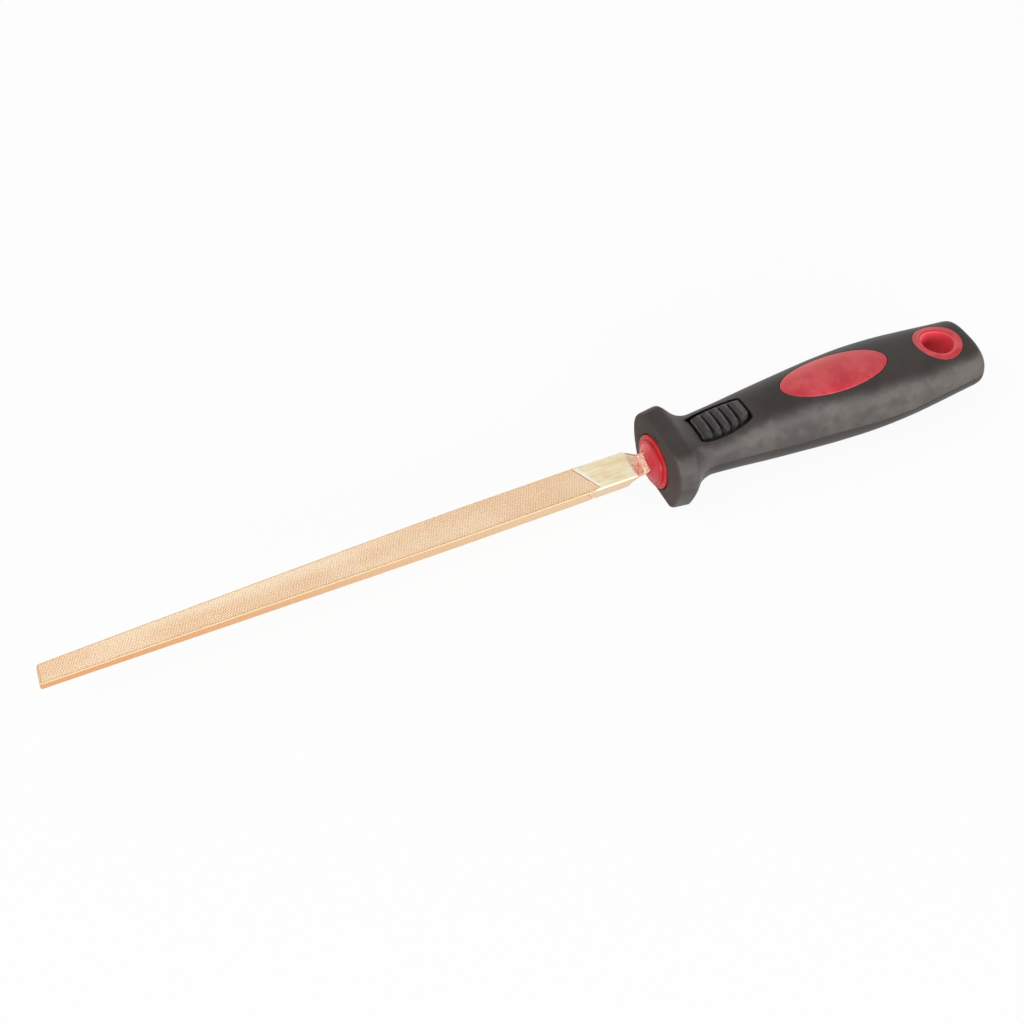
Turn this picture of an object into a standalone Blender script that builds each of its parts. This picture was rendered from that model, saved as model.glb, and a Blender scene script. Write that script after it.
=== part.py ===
"""Three-square file with a two-colour moulded handle.

The blade points along -X and the handle along +X. +Z is up, through the label side of
the grip. The origin is on the bench, under the middle of the whole tool: z = 0 is the
flat foot of the guard. All lengths are metres.
"""
import math

import bmesh
import bpy
import numpy as np
from mathutils import Matrix

MM = 0.001

# Clearances: touching pieces keep FIT_GAP, and cutters run past what they cut by OVERRUN
FIT_GAP = 0.3 * MM
OVERRUN = 6.0 * MM

# Blade: an equilateral section, parallel from the heel and tapered towards the tip
BLADE_LENGTH = 200.0 * MM
HEEL_WIDTH = 13.1 * MM
TIP_WIDTH = 8.5 * MM
TAPER_LENGTH = 140.0 * MM
TAPER_POWER = 1.2
EDGE_LAND = 0.45 * MM
BLADE_DROP = 1.1 * MM

# Shoulder and tang behind the blade's heel
SHOULDER_LENGTH = 4.4 * MM
TANG_ROOT_WIDTH = 6.2 * MM
TANG_ROOT_HEIGHT = 8.2 * MM
TANG_ROOT_DROP = 0.8 * MM
TANG_NECK_LENGTH = 9.0 * MM
TANG_NECK_WIDTH = 5.2 * MM
TANG_NECK_HEIGHT = 6.2 * MM
TANG_LENGTH = 64.0 * MM
TANG_POINT_WIDTH = 2.2 * MM
TANG_POINT_HEIGHT = 2.8 * MM
SLOT_GAP = 0.5 * MM

# Handle, from the guard's front face to the rounded end, which leans back towards its top
NECK_LENGTH = 10.8 * MM
HANDLE_LENGTH = 126.6 * MM
BELLY_WIDTH = 29.5 * MM
BELLY_HEIGHT = 24.8 * MM
BODY_EXPONENT = 3.2
END_CAP_LENGTH = 9.1 * MM
END_CAP_EXPONENT = 3.2
END_FLAT_SHARE = 0.54
END_LEAN = 0.14

# Guard: a rounded polygon, given by its corners' distances from the handle's axis
GUARD_THICKNESS = 7.5 * MM
GUARD_WIDTH = 34.2 * MM
GUARD_TOP = 11.5 * MM
GUARD_TOP_WIDTH = 25.3 * MM
GUARD_HIGH_CORNER = 5.2 * MM
GUARD_LOW_CORNER = 2.4 * MM
GUARD_FOOT = 13.4 * MM
GUARD_FOOT_WIDTH = 23.0 * MM
GUARD_CORNER_POWER = 26
GUARD_FLAT_EXCESS = 0.03
GUARD_EDGE_RADIUS = 1.4 * MM
NECK_FILLET = 7.1 * MM

# Front collar: a stepped disc with a spigot that reaches back to the core
COLLAR_RADIUS = 9.7 * MM
COLLAR_DROP = 0.35 * MM
COLLAR_PROUD = 1.6 * MM
COLLAR_SEAT = 1.6 * MM
COLLAR_EDGE = 0.5 * MM
COLLAR_STEP_RADIUS = 7.9 * MM
COLLAR_DISH_RADIUS = 6.9 * MM
COLLAR_DISH_DEPTH = 0.6 * MM
SPIGOT_RADIUS = 6.3 * MM
SPIGOT_LENGTH = 6.0 * MM

# Core: a tapered rod in the grip, which holds the tang
CORE_FRONT_WIDTH = 14.4 * MM
CORE_FRONT_HEIGHT = 10.4 * MM
CORE_REAR_WIDTH = 19.0 * MM
CORE_REAR_HEIGHT = 14.6 * MM
CORE_EXPONENT = 3.6
CORE_END_WALL = 5.0 * MM

# Hanging eyelet: a bush right through the grip, flush at both ends
EYELET_FROM_END = 16.5 * MM
EYELET_RADIUS = 8.6 * MM
EYELET_BORE_RADIUS = 5.4 * MM
EYELET_FLARE = 0.8 * MM

# Label badge: a flush oval midway between the thumb pad and the eyelet
LABEL_LENGTH = 41.2 * MM
LABEL_WIDTH = 15.8 * MM
LABEL_DEPTH = 2.8 * MM

# Thumb pad: a ribbed insert in a pocket behind the guard
POCKET_FROM_GUARD = 5.3 * MM
POCKET_LENGTH = 20.8 * MM
POCKET_WIDTH = 11.4 * MM
POCKET_CORNER = 1.6 * MM
POCKET_DEPTH = 1.7 * MM
PAD_FRONT_MARGIN = 1.6 * MM
PAD_MARGIN = 0.6 * MM
PAD_PROUD = 0.3 * MM
RIB_COUNT = 5
FIRST_RIB = 3.7 * MM
LAST_RIB = 4.0 * MM
GROOVE_WIDTH = 0.8 * MM
GROOVE_DEPTH = 0.9 * MM

# Mesh fineness
AROUND = 56
BODY_STEPS = 22
CAP_STEPS = 7
ROUND_STEPS = 3
FILLET_STEPS = 5
TAPER_STEPS = 12
TURNED_STEPS = 48
CORNER_STEPS = 3
SHARP_ANGLE = math.radians(32)
MERGE_DISTANCE = 0.01 * MM

# Handle profile: place along the handle, then width and height as shares of the belly's
PROFILE_SHARES = (
    (0.000, 0.700, 0.612),
    (0.112, 0.735, 0.653),
    (0.205, 0.742, 0.725),
    (0.292, 0.774, 0.875),
    (0.395, 0.844, 0.968),
    (0.509, 0.932, 1.000),
    (0.624, 0.998, 0.983),
    (0.727, 0.990, 0.932),
    (0.822, 0.942, 0.837),
    (0.908, 0.884, 0.754),
    (1.000, 0.799, 0.667),
)

# Tang outline: half its top and half its foot as shares of its width, and how far its
# widest line lies below its top as a share of its height
TANG_TOP_SHARE = 0.40
TANG_FOOT_SHARE = 0.34
TANG_WIDEST_SHARE = 0.30

# Places along the tool and heights above the bench, worked out from the sizes
TOTAL_LENGTH = BLADE_LENGTH + NECK_LENGTH + HANDLE_LENGTH
TIP_X = -TOTAL_LENGTH / 2
SHOULDER_X = TIP_X + BLADE_LENGTH
GUARD_X = SHOULDER_X + NECK_LENGTH
GUARD_BACK_X = GUARD_X + GUARD_THICKNESS
END_X = GUARD_X + HANDLE_LENGTH
AXIS_Z = GUARD_FOOT
COLLAR_Z = AXIS_Z - COLLAR_DROP
BLADE_Z = AXIS_Z - BLADE_DROP
EYELET_X = END_X - EYELET_FROM_END
SPIGOT_END_X = GUARD_X + COLLAR_SEAT + SPIGOT_LENGTH
CORE_START_X = SPIGOT_END_X + FIT_GAP
CORE_END_X = EYELET_X - EYELET_RADIUS - CORE_END_WALL
POCKET_START_X = GUARD_BACK_X + POCKET_FROM_GUARD
POCKET_END_X = POCKET_START_X + POCKET_LENGTH
LABEL_X = (POCKET_END_X + EYELET_X - EYELET_RADIUS) / 2

# Colour, roughness and metallic value of each material
MATERIALS = {
    "copper_alloy": ((0.80, 0.56, 0.36), 0.36, 1.0),
    "black_grip": ((0.055, 0.050, 0.047), 0.62, 0.0),
    "black_pad": ((0.040, 0.037, 0.038), 0.45, 0.0),
    "red_plastic": ((0.62, 0.045, 0.065), 0.38, 0.0),
    "core_plastic": ((0.55, 0.04, 0.06), 0.50, 0.0),
}


def clear_scene():
    """Start from an empty scene."""
    for obj in list(bpy.data.objects):
        bpy.data.objects.remove(obj, do_unlink=True)


def new_collection(name):
    """A collection linked to the scene."""
    group = bpy.data.collections.new(name)
    bpy.context.scene.collection.children.link(group)
    return group


def material(name):
    """The Principled material of that name, made on first use."""
    if name in bpy.data.materials:
        return bpy.data.materials[name]
    colour, roughness, metallic = MATERIALS[name]
    mat = bpy.data.materials.new(name)
    mat.use_nodes = True
    shader = mat.node_tree.nodes["Principled BSDF"]
    shader.inputs["Base Color"].default_value = (*colour, 1.0)
    shader.inputs["Roughness"].default_value = roughness
    shader.inputs["Metallic"].default_value = metallic
    return mat


def add_object(name, mesh, group, mat_name=None):
    """Link a mesh as an object, smooth where it is round."""
    obj = bpy.data.objects.new(name, mesh)
    group.objects.link(obj)
    if mat_name:
        mesh.materials.append(material(mat_name))
    mesh.shade_smooth()
    mesh.set_sharp_from_angle(angle=SHARP_ANGLE)
    return obj


def hide_cutter(obj):
    """Show a cutter as a wire frame and leave it out of renders."""
    obj.hide_render = True
    obj.display_type = "WIRE"
    return obj


def boolean(obj, operation, operand):
    """Cut, join or intersect with another object."""
    mod = obj.modifiers.new(f"{operation.lower()}_{operand.name}", "BOOLEAN")
    mod.operation = operation
    mod.solver = "EXACT"
    mod.object = operand
    return mod


def mesh_from(name, bm):
    """Turn a bmesh into a mesh with its faces pointing out."""
    bmesh.ops.recalc_face_normals(bm, faces=bm.faces)
    mesh = bpy.data.meshes.new(name)
    bm.to_mesh(mesh)
    bm.free()
    return mesh


def loft(name, rings):
    """Skin a row of rings, all with the same number of points, and close both ends."""
    bm = bmesh.new()
    rows = [[bm.verts.new(point) for point in ring] for ring in rings]
    for near, far in zip(rows, rows[1:]):
        for i in range(len(near)):
            j = (i + 1) % len(near)
            bm.faces.new((near[i], near[j], far[j], far[i]))
    bm.faces.new(rows[0])
    bm.faces.new(rows[-1])
    return mesh_from(name, bm)


def ring_at(x, outline, centre_z=AXIS_Z):
    """Place a (y, z) outline on the plane at x, about a height."""
    return np.column_stack((np.full(len(outline), x), outline[:, 0], outline[:, 1] + centre_z))


def superellipse(half_width, half_height, exponent):
    """Outline |y/a|^n + |z/b|^n = 1, from +Y round by +Z."""
    t = np.arange(AROUND) * 2 * math.pi / AROUND
    c, s = np.cos(t), np.sin(t)
    y = half_width * np.sign(c) * np.abs(c) ** (2 / exponent)
    z = half_height * np.sign(s) * np.abs(s) ** (2 / exponent)
    return np.column_stack((y, z))


def smooth_read(table, place):
    """Read a table of shares with a curve that runs smoothly through its rows."""
    rows = np.array(table)
    at, values = rows[:, 0], rows[:, 1:]
    slopes = np.gradient(values, at, axis=0)
    i = int(np.clip(np.searchsorted(at, place) - 1, 0, len(at) - 2))
    span = at[i + 1] - at[i]
    u = (place - at[i]) / span
    start, end = values[i], values[i + 1]
    return (start * (1 + 2 * u) * (1 - u) ** 2 + end * u * u * (3 - 2 * u)
            + span * slopes[i] * u * (1 - u) ** 2 + span * slopes[i + 1] * u * u * (u - 1))


def body_size(x):
    """Half width and half height of the grip at x, before its end is rounded."""
    width, height = smooth_read(PROFILE_SHARES, (x - GUARD_X) / HANDLE_LENGTH)
    return BELLY_WIDTH / 2 * width, BELLY_HEIGHT / 2 * height


def end_share(x):
    """How far the rounded end has closed in at x: 1 before it, END_FLAT_SHARE at the end."""
    u = max(0.0, (x - (END_X - END_CAP_LENGTH)) / END_CAP_LENGTH)
    p = END_CAP_EXPONENT
    return (1 - (1 - END_FLAT_SHARE ** p) * u ** p) ** (1 / p)


def body_outline(x):
    """The grip's outline at x."""
    half_width, half_height = body_size(x)
    share = end_share(x)
    return superellipse(half_width * share, half_height * share, BODY_EXPONENT)


def cap_ring(x):
    """Ring of the rounded end, its top leaning back more and more towards the end."""
    ring = ring_at(x, body_outline(x))
    along_cap = 1 - (END_X - x) / END_CAP_LENGTH
    ring[:, 0] -= END_LEAN * along_cap ** 2 * (ring[:, 2] - ring[:, 2].min())
    return ring


def guard_outline(inset):
    """The guard's rounded polygon, drawn in by an inset.

    Each side of the polygon is a line at some distance from the axis. The radius at an
    angle is a high-power mean of the distances to those lines, which rounds the corners.
    The lines of the top and the foot lie a little outside, and those two are then cut flat.
    """
    past = 1 + GUARD_FLAT_EXCESS
    corners = ((GUARD_FOOT_WIDTH / 2, -GUARD_FOOT * past), (GUARD_WIDTH / 2, -GUARD_LOW_CORNER),
               (GUARD_WIDTH / 2, GUARD_HIGH_CORNER), (GUARD_TOP_WIDTH / 2, GUARD_TOP * past))
    right = np.array(corners)
    polygon = np.vstack((right, right[::-1] * (-1, 1)))
    along = np.roll(polygon, -1, axis=0) - polygon
    normals = np.column_stack((along[:, 1], -along[:, 0]))
    normals /= np.linalg.norm(normals, axis=1)[:, None]
    distances = (normals * polygon).sum(axis=1)
    t = np.arange(AROUND) * 2 * math.pi / AROUND
    rays = np.column_stack((np.cos(t), np.sin(t)))
    nearness = np.maximum(rays @ normals.T, 0.0) / distances
    power = GUARD_CORNER_POWER
    radius = (nearness ** power).sum(axis=1) ** (-1 / power)
    outline = rays * (radius - inset)[:, None]
    outline[:, 1] = np.clip(outline[:, 1], -(GUARD_FOOT - inset), GUARD_TOP - inset)
    return outline


def handle_rings():
    """All the rings of the handle's outer form, from the guard's face to the rounded end."""
    rings = []
    quarter = math.pi / 2
    for step in range(ROUND_STEPS + 1):
        a = quarter * (1 - step / ROUND_STEPS)
        x = GUARD_X + GUARD_EDGE_RADIUS * (1 - math.sin(a))
        rings.append(ring_at(x, guard_outline(GUARD_EDGE_RADIUS * (1 - math.cos(a)))))
    for step in range(ROUND_STEPS + 1):
        a = quarter * step / ROUND_STEPS
        x = GUARD_BACK_X - GUARD_EDGE_RADIUS * (1 - math.sin(a))
        rings.append(ring_at(x, guard_outline(GUARD_EDGE_RADIUS * (1 - math.cos(a)))))
    back = guard_outline(GUARD_EDGE_RADIUS)
    for step in range(1, FILLET_STEPS + 1):
        a = quarter * step / FILLET_STEPS
        x = GUARD_BACK_X + NECK_FILLET * (1 - math.cos(a))
        share = math.sin(a)
        rings.append(ring_at(x, back * (1 - share) + body_outline(x) * share))
    start = GUARD_BACK_X + NECK_FILLET
    cap_start = END_X - END_CAP_LENGTH
    for step in range(1, BODY_STEPS + 1):
        x = start + (cap_start - start) * step / BODY_STEPS
        rings.append(ring_at(x, body_outline(x)))
    for step in range(1, CAP_STEPS + 1):
        rings.append(cap_ring(cap_start + END_CAP_LENGTH * math.sin(quarter * step / CAP_STEPS)))
    return rings


def blade_width(x):
    """Face width of the blade at x."""
    share = np.clip((TIP_X + TAPER_LENGTH - x) / TAPER_LENGTH, 0.0, 1.0)
    return HEEL_WIDTH - (HEEL_WIDTH - TIP_WIDTH) * share ** TAPER_POWER


def blade_outline(width):
    """Equilateral triangle, point down, with a narrow land on each edge."""
    rise = math.sqrt(3) / 2
    top = width * rise / 3
    foot = top - width * rise
    half = width / 2
    land = EDGE_LAND
    return np.array((
        (-half + land, top), (half - land, top),
        (half - land / 2, top - land * rise), (land / 2, foot + land * rise),
        (-land / 2, foot + land * rise), (-half + land / 2, top - land * rise)))


def tang_outline(width, height, lift, grow):
    """Worn rectangle of the tang, with the same six points as the blade's outline."""
    half = width / 2 + grow
    top = lift + height / 2 + grow
    foot = lift - height / 2 - grow
    widest = top - (top - foot) * TANG_WIDEST_SHARE
    upper = half * 2 * TANG_TOP_SHARE
    lower = half * 2 * TANG_FOOT_SHARE
    return np.array((
        (-upper, top), (upper, top), (half, widest), (lower, foot), (-lower, foot), (-half, widest)))


def tang_rings(grow, end_reach=0.0):
    """Rings of the tang, grown on every side by a clearance."""
    root_x = SHOULDER_X + SHOULDER_LENGTH
    neck_x = SHOULDER_X + TANG_NECK_LENGTH
    point_x = SHOULDER_X + TANG_LENGTH
    root = tang_outline(TANG_ROOT_WIDTH, TANG_ROOT_HEIGHT, -TANG_ROOT_DROP, grow)
    neck = tang_outline(TANG_NECK_WIDTH, TANG_NECK_HEIGHT, 0.0, grow)
    point = tang_outline(TANG_POINT_WIDTH, TANG_POINT_HEIGHT, BLADE_DROP, grow)
    return [ring_at(root_x, root, BLADE_Z), ring_at(neck_x, neck, BLADE_Z),
            ring_at(point_x + end_reach, point, BLADE_Z)]


def blade_rings():
    """Rings of the blade from the tip to the shoulder."""
    rings = []
    for step in range(TAPER_STEPS + 1):
        x = TIP_X + TAPER_LENGTH * step / TAPER_STEPS
        rings.append(ring_at(x, blade_outline(blade_width(x)), BLADE_Z))
    rings.append(ring_at(SHOULDER_X, blade_outline(HEEL_WIDTH), BLADE_Z))
    return rings


def cylinder(name, radius, depth, group):
    """Upright cylinder centred on the origin."""
    bm = bmesh.new()
    bmesh.ops.create_cone(bm, cap_ends=True, segments=TURNED_STEPS,
                          radius1=radius, radius2=radius, depth=depth)
    return add_object(name, mesh_from(name, bm), group)


def block(name, length, width, height, corner, group):
    """Block centred on the origin, its four upright edges rounded."""
    bm = bmesh.new()
    shape = Matrix.Diagonal((1, width / length, height / length, 1))
    bmesh.ops.create_cube(bm, size=length, matrix=shape)
    if corner > 0:
        upright = [e for e in bm.edges if abs(e.verts[0].co.z - e.verts[1].co.z) > height / 2]
        bmesh.ops.bevel(bm, geom=upright, offset=corner, segments=CORNER_STEPS,
                        profile=0.5, affect="EDGES")
    return add_object(name, mesh_from(name, bm), group)


def turned(name, profile, group, mat_name=None):
    """Turn a (radius, height) profile about Z; it starts and ends on the axis."""
    mesh = bpy.data.meshes.new(name)
    points = [(radius, 0.0, height) for radius, height in profile]
    edges = [(i, i + 1) for i in range(len(points) - 1)]
    mesh.from_pydata(points, edges, [])
    obj = add_object(name, mesh, group, mat_name)
    screw = obj.modifiers.new("turn", "SCREW")
    screw.axis = "Z"
    screw.steps = TURNED_STEPS
    screw.render_steps = TURNED_STEPS
    screw.use_merge_vertices = True
    screw.merge_threshold = MERGE_DISTANCE
    return obj


def build_blade(parts):
    """Blade, shoulder and tang: one forging."""
    return add_object("file_blade", loft("file_blade", blade_rings() + tang_rings(0.0)),
                      parts, "copper_alloy")


def build_collar(parts, cutters):
    """Stepped front disc and its spigot, turned a little below the handle's axis and slotted."""
    back = -COLLAR_PROUD - COLLAR_SEAT
    profile = (
        (0.0, -COLLAR_DISH_DEPTH), (COLLAR_DISH_RADIUS, -COLLAR_DISH_DEPTH),
        (COLLAR_STEP_RADIUS, 0.0), (COLLAR_RADIUS - COLLAR_EDGE, 0.0),
        (COLLAR_RADIUS, -COLLAR_EDGE), (COLLAR_RADIUS, back + FIT_GAP),
        (SPIGOT_RADIUS, back + FIT_GAP), (SPIGOT_RADIUS, back - SPIGOT_LENGTH),
        (0.0, back - SPIGOT_LENGTH))
    collar = turned("front_collar", profile, parts, "red_plastic")
    collar.rotation_euler = (0.0, -math.pi / 2, 0.0)
    collar.location = (GUARD_X - COLLAR_PROUD, 0.0, COLLAR_Z)
    slot = add_object("tang_slot", loft("tang_slot", tang_rings(SLOT_GAP)), cutters)
    boolean(collar, "DIFFERENCE", hide_cutter(slot))
    return collar


def core_rings(grow):
    """Rings of the tapered core, grown on every side by a clearance."""
    rings = []
    for x, width, height in ((CORE_START_X - grow, CORE_FRONT_WIDTH, CORE_FRONT_HEIGHT),
                             (CORE_END_X + grow, CORE_REAR_WIDTH, CORE_REAR_HEIGHT)):
        rings.append(ring_at(x, superellipse(width / 2 + grow, height / 2 + grow, CORE_EXPONENT)))
    return rings


def build_core(parts, cutters):
    """Core rod with the tang's socket."""
    core = add_object("handle_core", loft("handle_core", core_rings(0.0)), parts, "core_plastic")
    socket = add_object("tang_socket", loft("tang_socket", tang_rings(FIT_GAP, FIT_GAP)),
                        cutters)
    boolean(core, "DIFFERENCE", hide_cutter(socket))
    return core


def pocket_tilt():
    """Slope of the grip's top along the thumb pad's pocket."""
    rise = body_size(POCKET_END_X)[1] - body_size(POCKET_START_X)[1]
    return math.atan2(rise, POCKET_LENGTH)


def pocket_frame(x):
    """Place on the grip's top at x, turned to lie along the pocket."""
    start, end = body_size(POCKET_START_X)[1], body_size(POCKET_END_X)[1]
    top = start + (end - start) * (x - POCKET_START_X) / POCKET_LENGTH
    return Matrix.Translation((x, 0.0, AXIS_Z + top)) @ Matrix.Rotation(-pocket_tilt(), 4, "Y")


def build_pad(parts, cutters, form):
    """Ribbed thumb pad, and the cutter of the pocket that it lies in."""
    pocket = block("pad_pocket", POCKET_LENGTH, POCKET_WIDTH, (POCKET_DEPTH + OVERRUN),
                   POCKET_CORNER, cutters)
    middle = (POCKET_START_X + POCKET_END_X) / 2
    pocket.matrix_world = pocket_frame(middle) @ Matrix.Translation(
        (0.0, 0.0, (OVERRUN - POCKET_DEPTH) / 2))
    hide_cutter(pocket)

    pad_start = POCKET_START_X + PAD_FRONT_MARGIN
    pad_end = POCKET_END_X - PAD_MARGIN
    pad_length = pad_end - pad_start
    height = POCKET_DEPTH - FIT_GAP + OVERRUN
    pad = block("thumb_pad", pad_length, POCKET_WIDTH - 2 * PAD_MARGIN, height,
                POCKET_CORNER - PAD_MARGIN, parts)
    pad.matrix_world = pocket_frame((pad_start + pad_end) / 2) @ Matrix.Translation(
        (0.0, 0.0, (OVERRUN - POCKET_DEPTH + FIT_GAP) / 2))
    pad.data.materials.append(material("black_pad"))

    raised = hide_cutter(add_object("pad_form", form.data.copy(), cutters))
    raised.location = (0.0, 0.0, PAD_PROUD)
    boolean(pad, "INTERSECT", raised)

    first = pad_start + FIRST_RIB + GROOVE_WIDTH / 2
    last = pad_end - LAST_RIB - GROOVE_WIDTH / 2
    for rib in range(1, RIB_COUNT):
        groove = block(f"groove_{rib}", GROOVE_WIDTH, POCKET_WIDTH + OVERRUN,
                       GROOVE_DEPTH + OVERRUN, 0.0, cutters)
        x = first + (last - first) * (rib - 1) / (RIB_COUNT - 2)
        groove.matrix_world = pocket_frame(x) @ Matrix.Translation(
            (0.0, 0.0, (OVERRUN - GROOVE_DEPTH) / 2))
        boolean(pad, "DIFFERENCE", hide_cutter(groove))
    return pad, pocket


def oval(name, grow, floor, group, mat_name=None):
    """Upright oval prism round the label's place, from a floor to well above the grip."""
    ceiling = AXIS_Z + BELLY_HEIGHT / 2 + OVERRUN
    radius = LABEL_WIDTH / 2 + grow
    bm = bmesh.new()
    bmesh.ops.create_cone(bm, cap_ends=True, segments=TURNED_STEPS,
                          radius1=radius, radius2=radius, depth=ceiling - floor)
    stretch = Matrix.Diagonal(((LABEL_LENGTH / 2 + grow) / radius, 1, 1, 1))
    bm.transform(Matrix.Translation((LABEL_X, 0.0, (ceiling + floor) / 2)) @ stretch)
    return add_object(name, mesh_from(name, bm), group, mat_name)


def build_label(parts, cutters, form):
    """Flush oval badge, and the cutter of its recess."""
    floor = AXIS_Z + body_size(LABEL_X)[1] - LABEL_DEPTH
    badge = oval("label_badge", 0.0, floor + FIT_GAP, parts, "red_plastic")
    boolean(badge, "INTERSECT", form)
    recess = hide_cutter(oval("label_recess", FIT_GAP, floor, cutters))
    return badge, recess


def build_eyelet(parts, cutters, form):
    """Bush of the hanging hole, flush with the grip above and below, and its cutter."""
    reach = BELLY_HEIGHT / 2 + OVERRUN
    half = body_size(EYELET_X)[1]
    eyelet = cylinder("hanging_eyelet", EYELET_RADIUS, 2 * reach, parts)
    eyelet.data.materials.append(material("red_plastic"))
    eyelet.location = (EYELET_X, 0.0, AXIS_Z)
    boolean(eyelet, "INTERSECT", form)
    wide = EYELET_BORE_RADIUS + EYELET_FLARE
    profile = ((wide, reach), (wide, half), (EYELET_BORE_RADIUS, half - EYELET_FLARE),
               (EYELET_BORE_RADIUS, EYELET_FLARE - half), (wide, -half), (wide, -reach))
    on_axis = ((0.0, reach), *profile, (0.0, -reach))
    bore = turned("eyelet_bore", on_axis, cutters)
    bore.location = eyelet.location
    boolean(eyelet, "DIFFERENCE", hide_cutter(bore))
    hole = hide_cutter(cylinder("eyelet_hole", EYELET_RADIUS + FIT_GAP, 2 * reach, cutters))
    hole.location = eyelet.location
    return eyelet, hole


def build_grip(parts, cutters, form, recesses):
    """Soft overmould: the outer form less its core, its collar seat and its recesses."""
    grip = add_object("grip_shell", form.data.copy(), parts, "black_grip")
    seat = cylinder("collar_seat", COLLAR_RADIUS + FIT_GAP, COLLAR_SEAT + OVERRUN, cutters)
    seat.rotation_euler = (0.0, math.pi / 2, 0.0)
    seat.location = (GUARD_X + (COLLAR_SEAT - OVERRUN) / 2, 0.0, COLLAR_Z)
    bore_length = SPIGOT_END_X - GUARD_X + OVERRUN
    bore = cylinder("spigot_bore", SPIGOT_RADIUS + FIT_GAP, bore_length, cutters)
    bore.rotation_euler = (0.0, math.pi / 2, 0.0)
    bore.location = (SPIGOT_END_X + FIT_GAP - bore_length / 2, 0.0, COLLAR_Z)
    cavity = add_object("core_cavity", loft("core_cavity", core_rings(FIT_GAP)), cutters)
    for cutter in (cavity, bore, seat):
        boolean(grip, "DIFFERENCE", hide_cutter(cutter))
    for cutter in recesses:
        boolean(grip, "DIFFERENCE", cutter)
    return grip


def main():
    """Build every piece of the file."""
    clear_scene()
    parts = new_collection("triangular_file")
    cutters = new_collection("cutters")
    form = hide_cutter(add_object("handle_form", loft("handle_form", handle_rings()), cutters))
    build_blade(parts)
    build_collar(parts, cutters)
    build_core(parts, cutters)
    pad, pocket = build_pad(parts, cutters, form)
    badge, recess = build_label(parts, cutters, form)
    eyelet, hole = build_eyelet(parts, cutters, form)
    build_grip(parts, cutters, form, (pocket, recess, hole))


main()
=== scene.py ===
"""Dressed model of a three-square file, laid out as a Blender add-on.

It stands in the CAD's own frame, in metres: the blade points along -X, the handle along
+X and +Z is up. Each operator builds one piece, or one group of like pieces, round the
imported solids, and main() calls them in order.
"""
import math

import bmesh
import bpy
import numpy as np
from bpy.props import (BoolProperty, FloatProperty, FloatVectorProperty, IntProperty,
                       PointerProperty)
from bpy.types import Operator, Panel, PropertyGroup
from mathutils import Matrix, Vector


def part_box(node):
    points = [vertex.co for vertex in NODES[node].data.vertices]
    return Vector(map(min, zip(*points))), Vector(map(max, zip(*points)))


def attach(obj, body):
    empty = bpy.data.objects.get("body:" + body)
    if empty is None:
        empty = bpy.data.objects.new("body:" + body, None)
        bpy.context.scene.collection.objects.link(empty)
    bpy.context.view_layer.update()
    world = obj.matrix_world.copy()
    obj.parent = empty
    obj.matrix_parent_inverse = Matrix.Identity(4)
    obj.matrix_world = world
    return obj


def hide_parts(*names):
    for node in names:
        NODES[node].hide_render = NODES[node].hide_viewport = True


bl_info = {
    "name": "Triangular File",
    "version": (1, 0, 0),
    "blender": (4, 5, 0),
    "location": "View3D > Sidebar > File",
    "description": "Builds a dressed triangular file round its packed solids",
    "category": "Object",
}

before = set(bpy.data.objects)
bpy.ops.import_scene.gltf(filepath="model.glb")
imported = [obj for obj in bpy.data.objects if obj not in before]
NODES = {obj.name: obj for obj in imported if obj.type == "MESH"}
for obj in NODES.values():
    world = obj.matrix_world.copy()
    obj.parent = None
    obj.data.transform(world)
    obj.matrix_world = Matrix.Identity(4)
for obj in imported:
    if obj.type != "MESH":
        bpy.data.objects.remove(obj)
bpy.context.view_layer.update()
MM = 0.001

BLADE_LOW, BLADE_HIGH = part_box("file_blade")
COLLAR_LOW, COLLAR_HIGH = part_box("front_collar")
GRIP_LOW, GRIP_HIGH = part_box("grip_shell")
CORE_LOW, CORE_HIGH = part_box("handle_core")
PAD_LOW, PAD_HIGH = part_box("thumb_pad")
LABEL_LOW, LABEL_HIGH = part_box("label_badge")
EYELET_LOW, EYELET_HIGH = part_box("hanging_eyelet")

TIP_X = BLADE_LOW.x
GUARD_X = GRIP_LOW.x
END_X = GRIP_HIGH.x
AXIS_Z = (CORE_LOW.z + CORE_HIGH.z) / 2

# Handle profile: place along the handle, then width and height as shares of the belly's
PROFILE_SHARES = (
    (0.000, 0.670, 0.600),
    (0.112, 0.765, 0.682),
    (0.205, 0.804, 0.787),
    (0.292, 0.822, 0.938),
    (0.395, 0.878, 1.022),
    (0.509, 0.962, 1.055),
    (0.624, 1.055, 1.000),
    (0.727, 1.067, 0.913),
    (0.822, 1.007, 0.838),
    (0.908, 0.928, 0.777),
    (1.000, 0.845, 0.725),
)
# Where along the handle the section's exponents hold: neck, belly and end
EXPONENT_SHARES = (0.18, 0.50, 0.88)
# Half width of the pad's pocket: place along it, then share of its greatest half width
BARREL_SHARES = ((0.00, 0.86), (0.25, 0.975), (0.42, 1.00), (0.60, 0.98), (0.80, 0.90),
                 (1.00, 0.76))
# Shares of the handle behind the neck: the parting line's fall, its climb's start and end
PARTING_SHARES = (0.28, 0.67, 0.82)
# Width of the walls of the troughs under the face slabs
TROUGH_WALL = 0.05 * MM
# From the shoulder to a trough's last ring and to the first level one
TROUGH_STOPS = (0.6 * MM, 0.5 * MM)
# From the shoulder to the end of a heel panel's slab
PANEL_STOP = 0.4 * MM

ROOT_3 = math.sqrt(3)
THIRD_TURN = 2 * math.pi / 3
# Edges that bend more than this are drawn sharp: on a plain piece, and on a cut one
SHARP_ANGLE = math.radians(40)
CUT_SHARP_ANGLE = math.radians(50)

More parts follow.
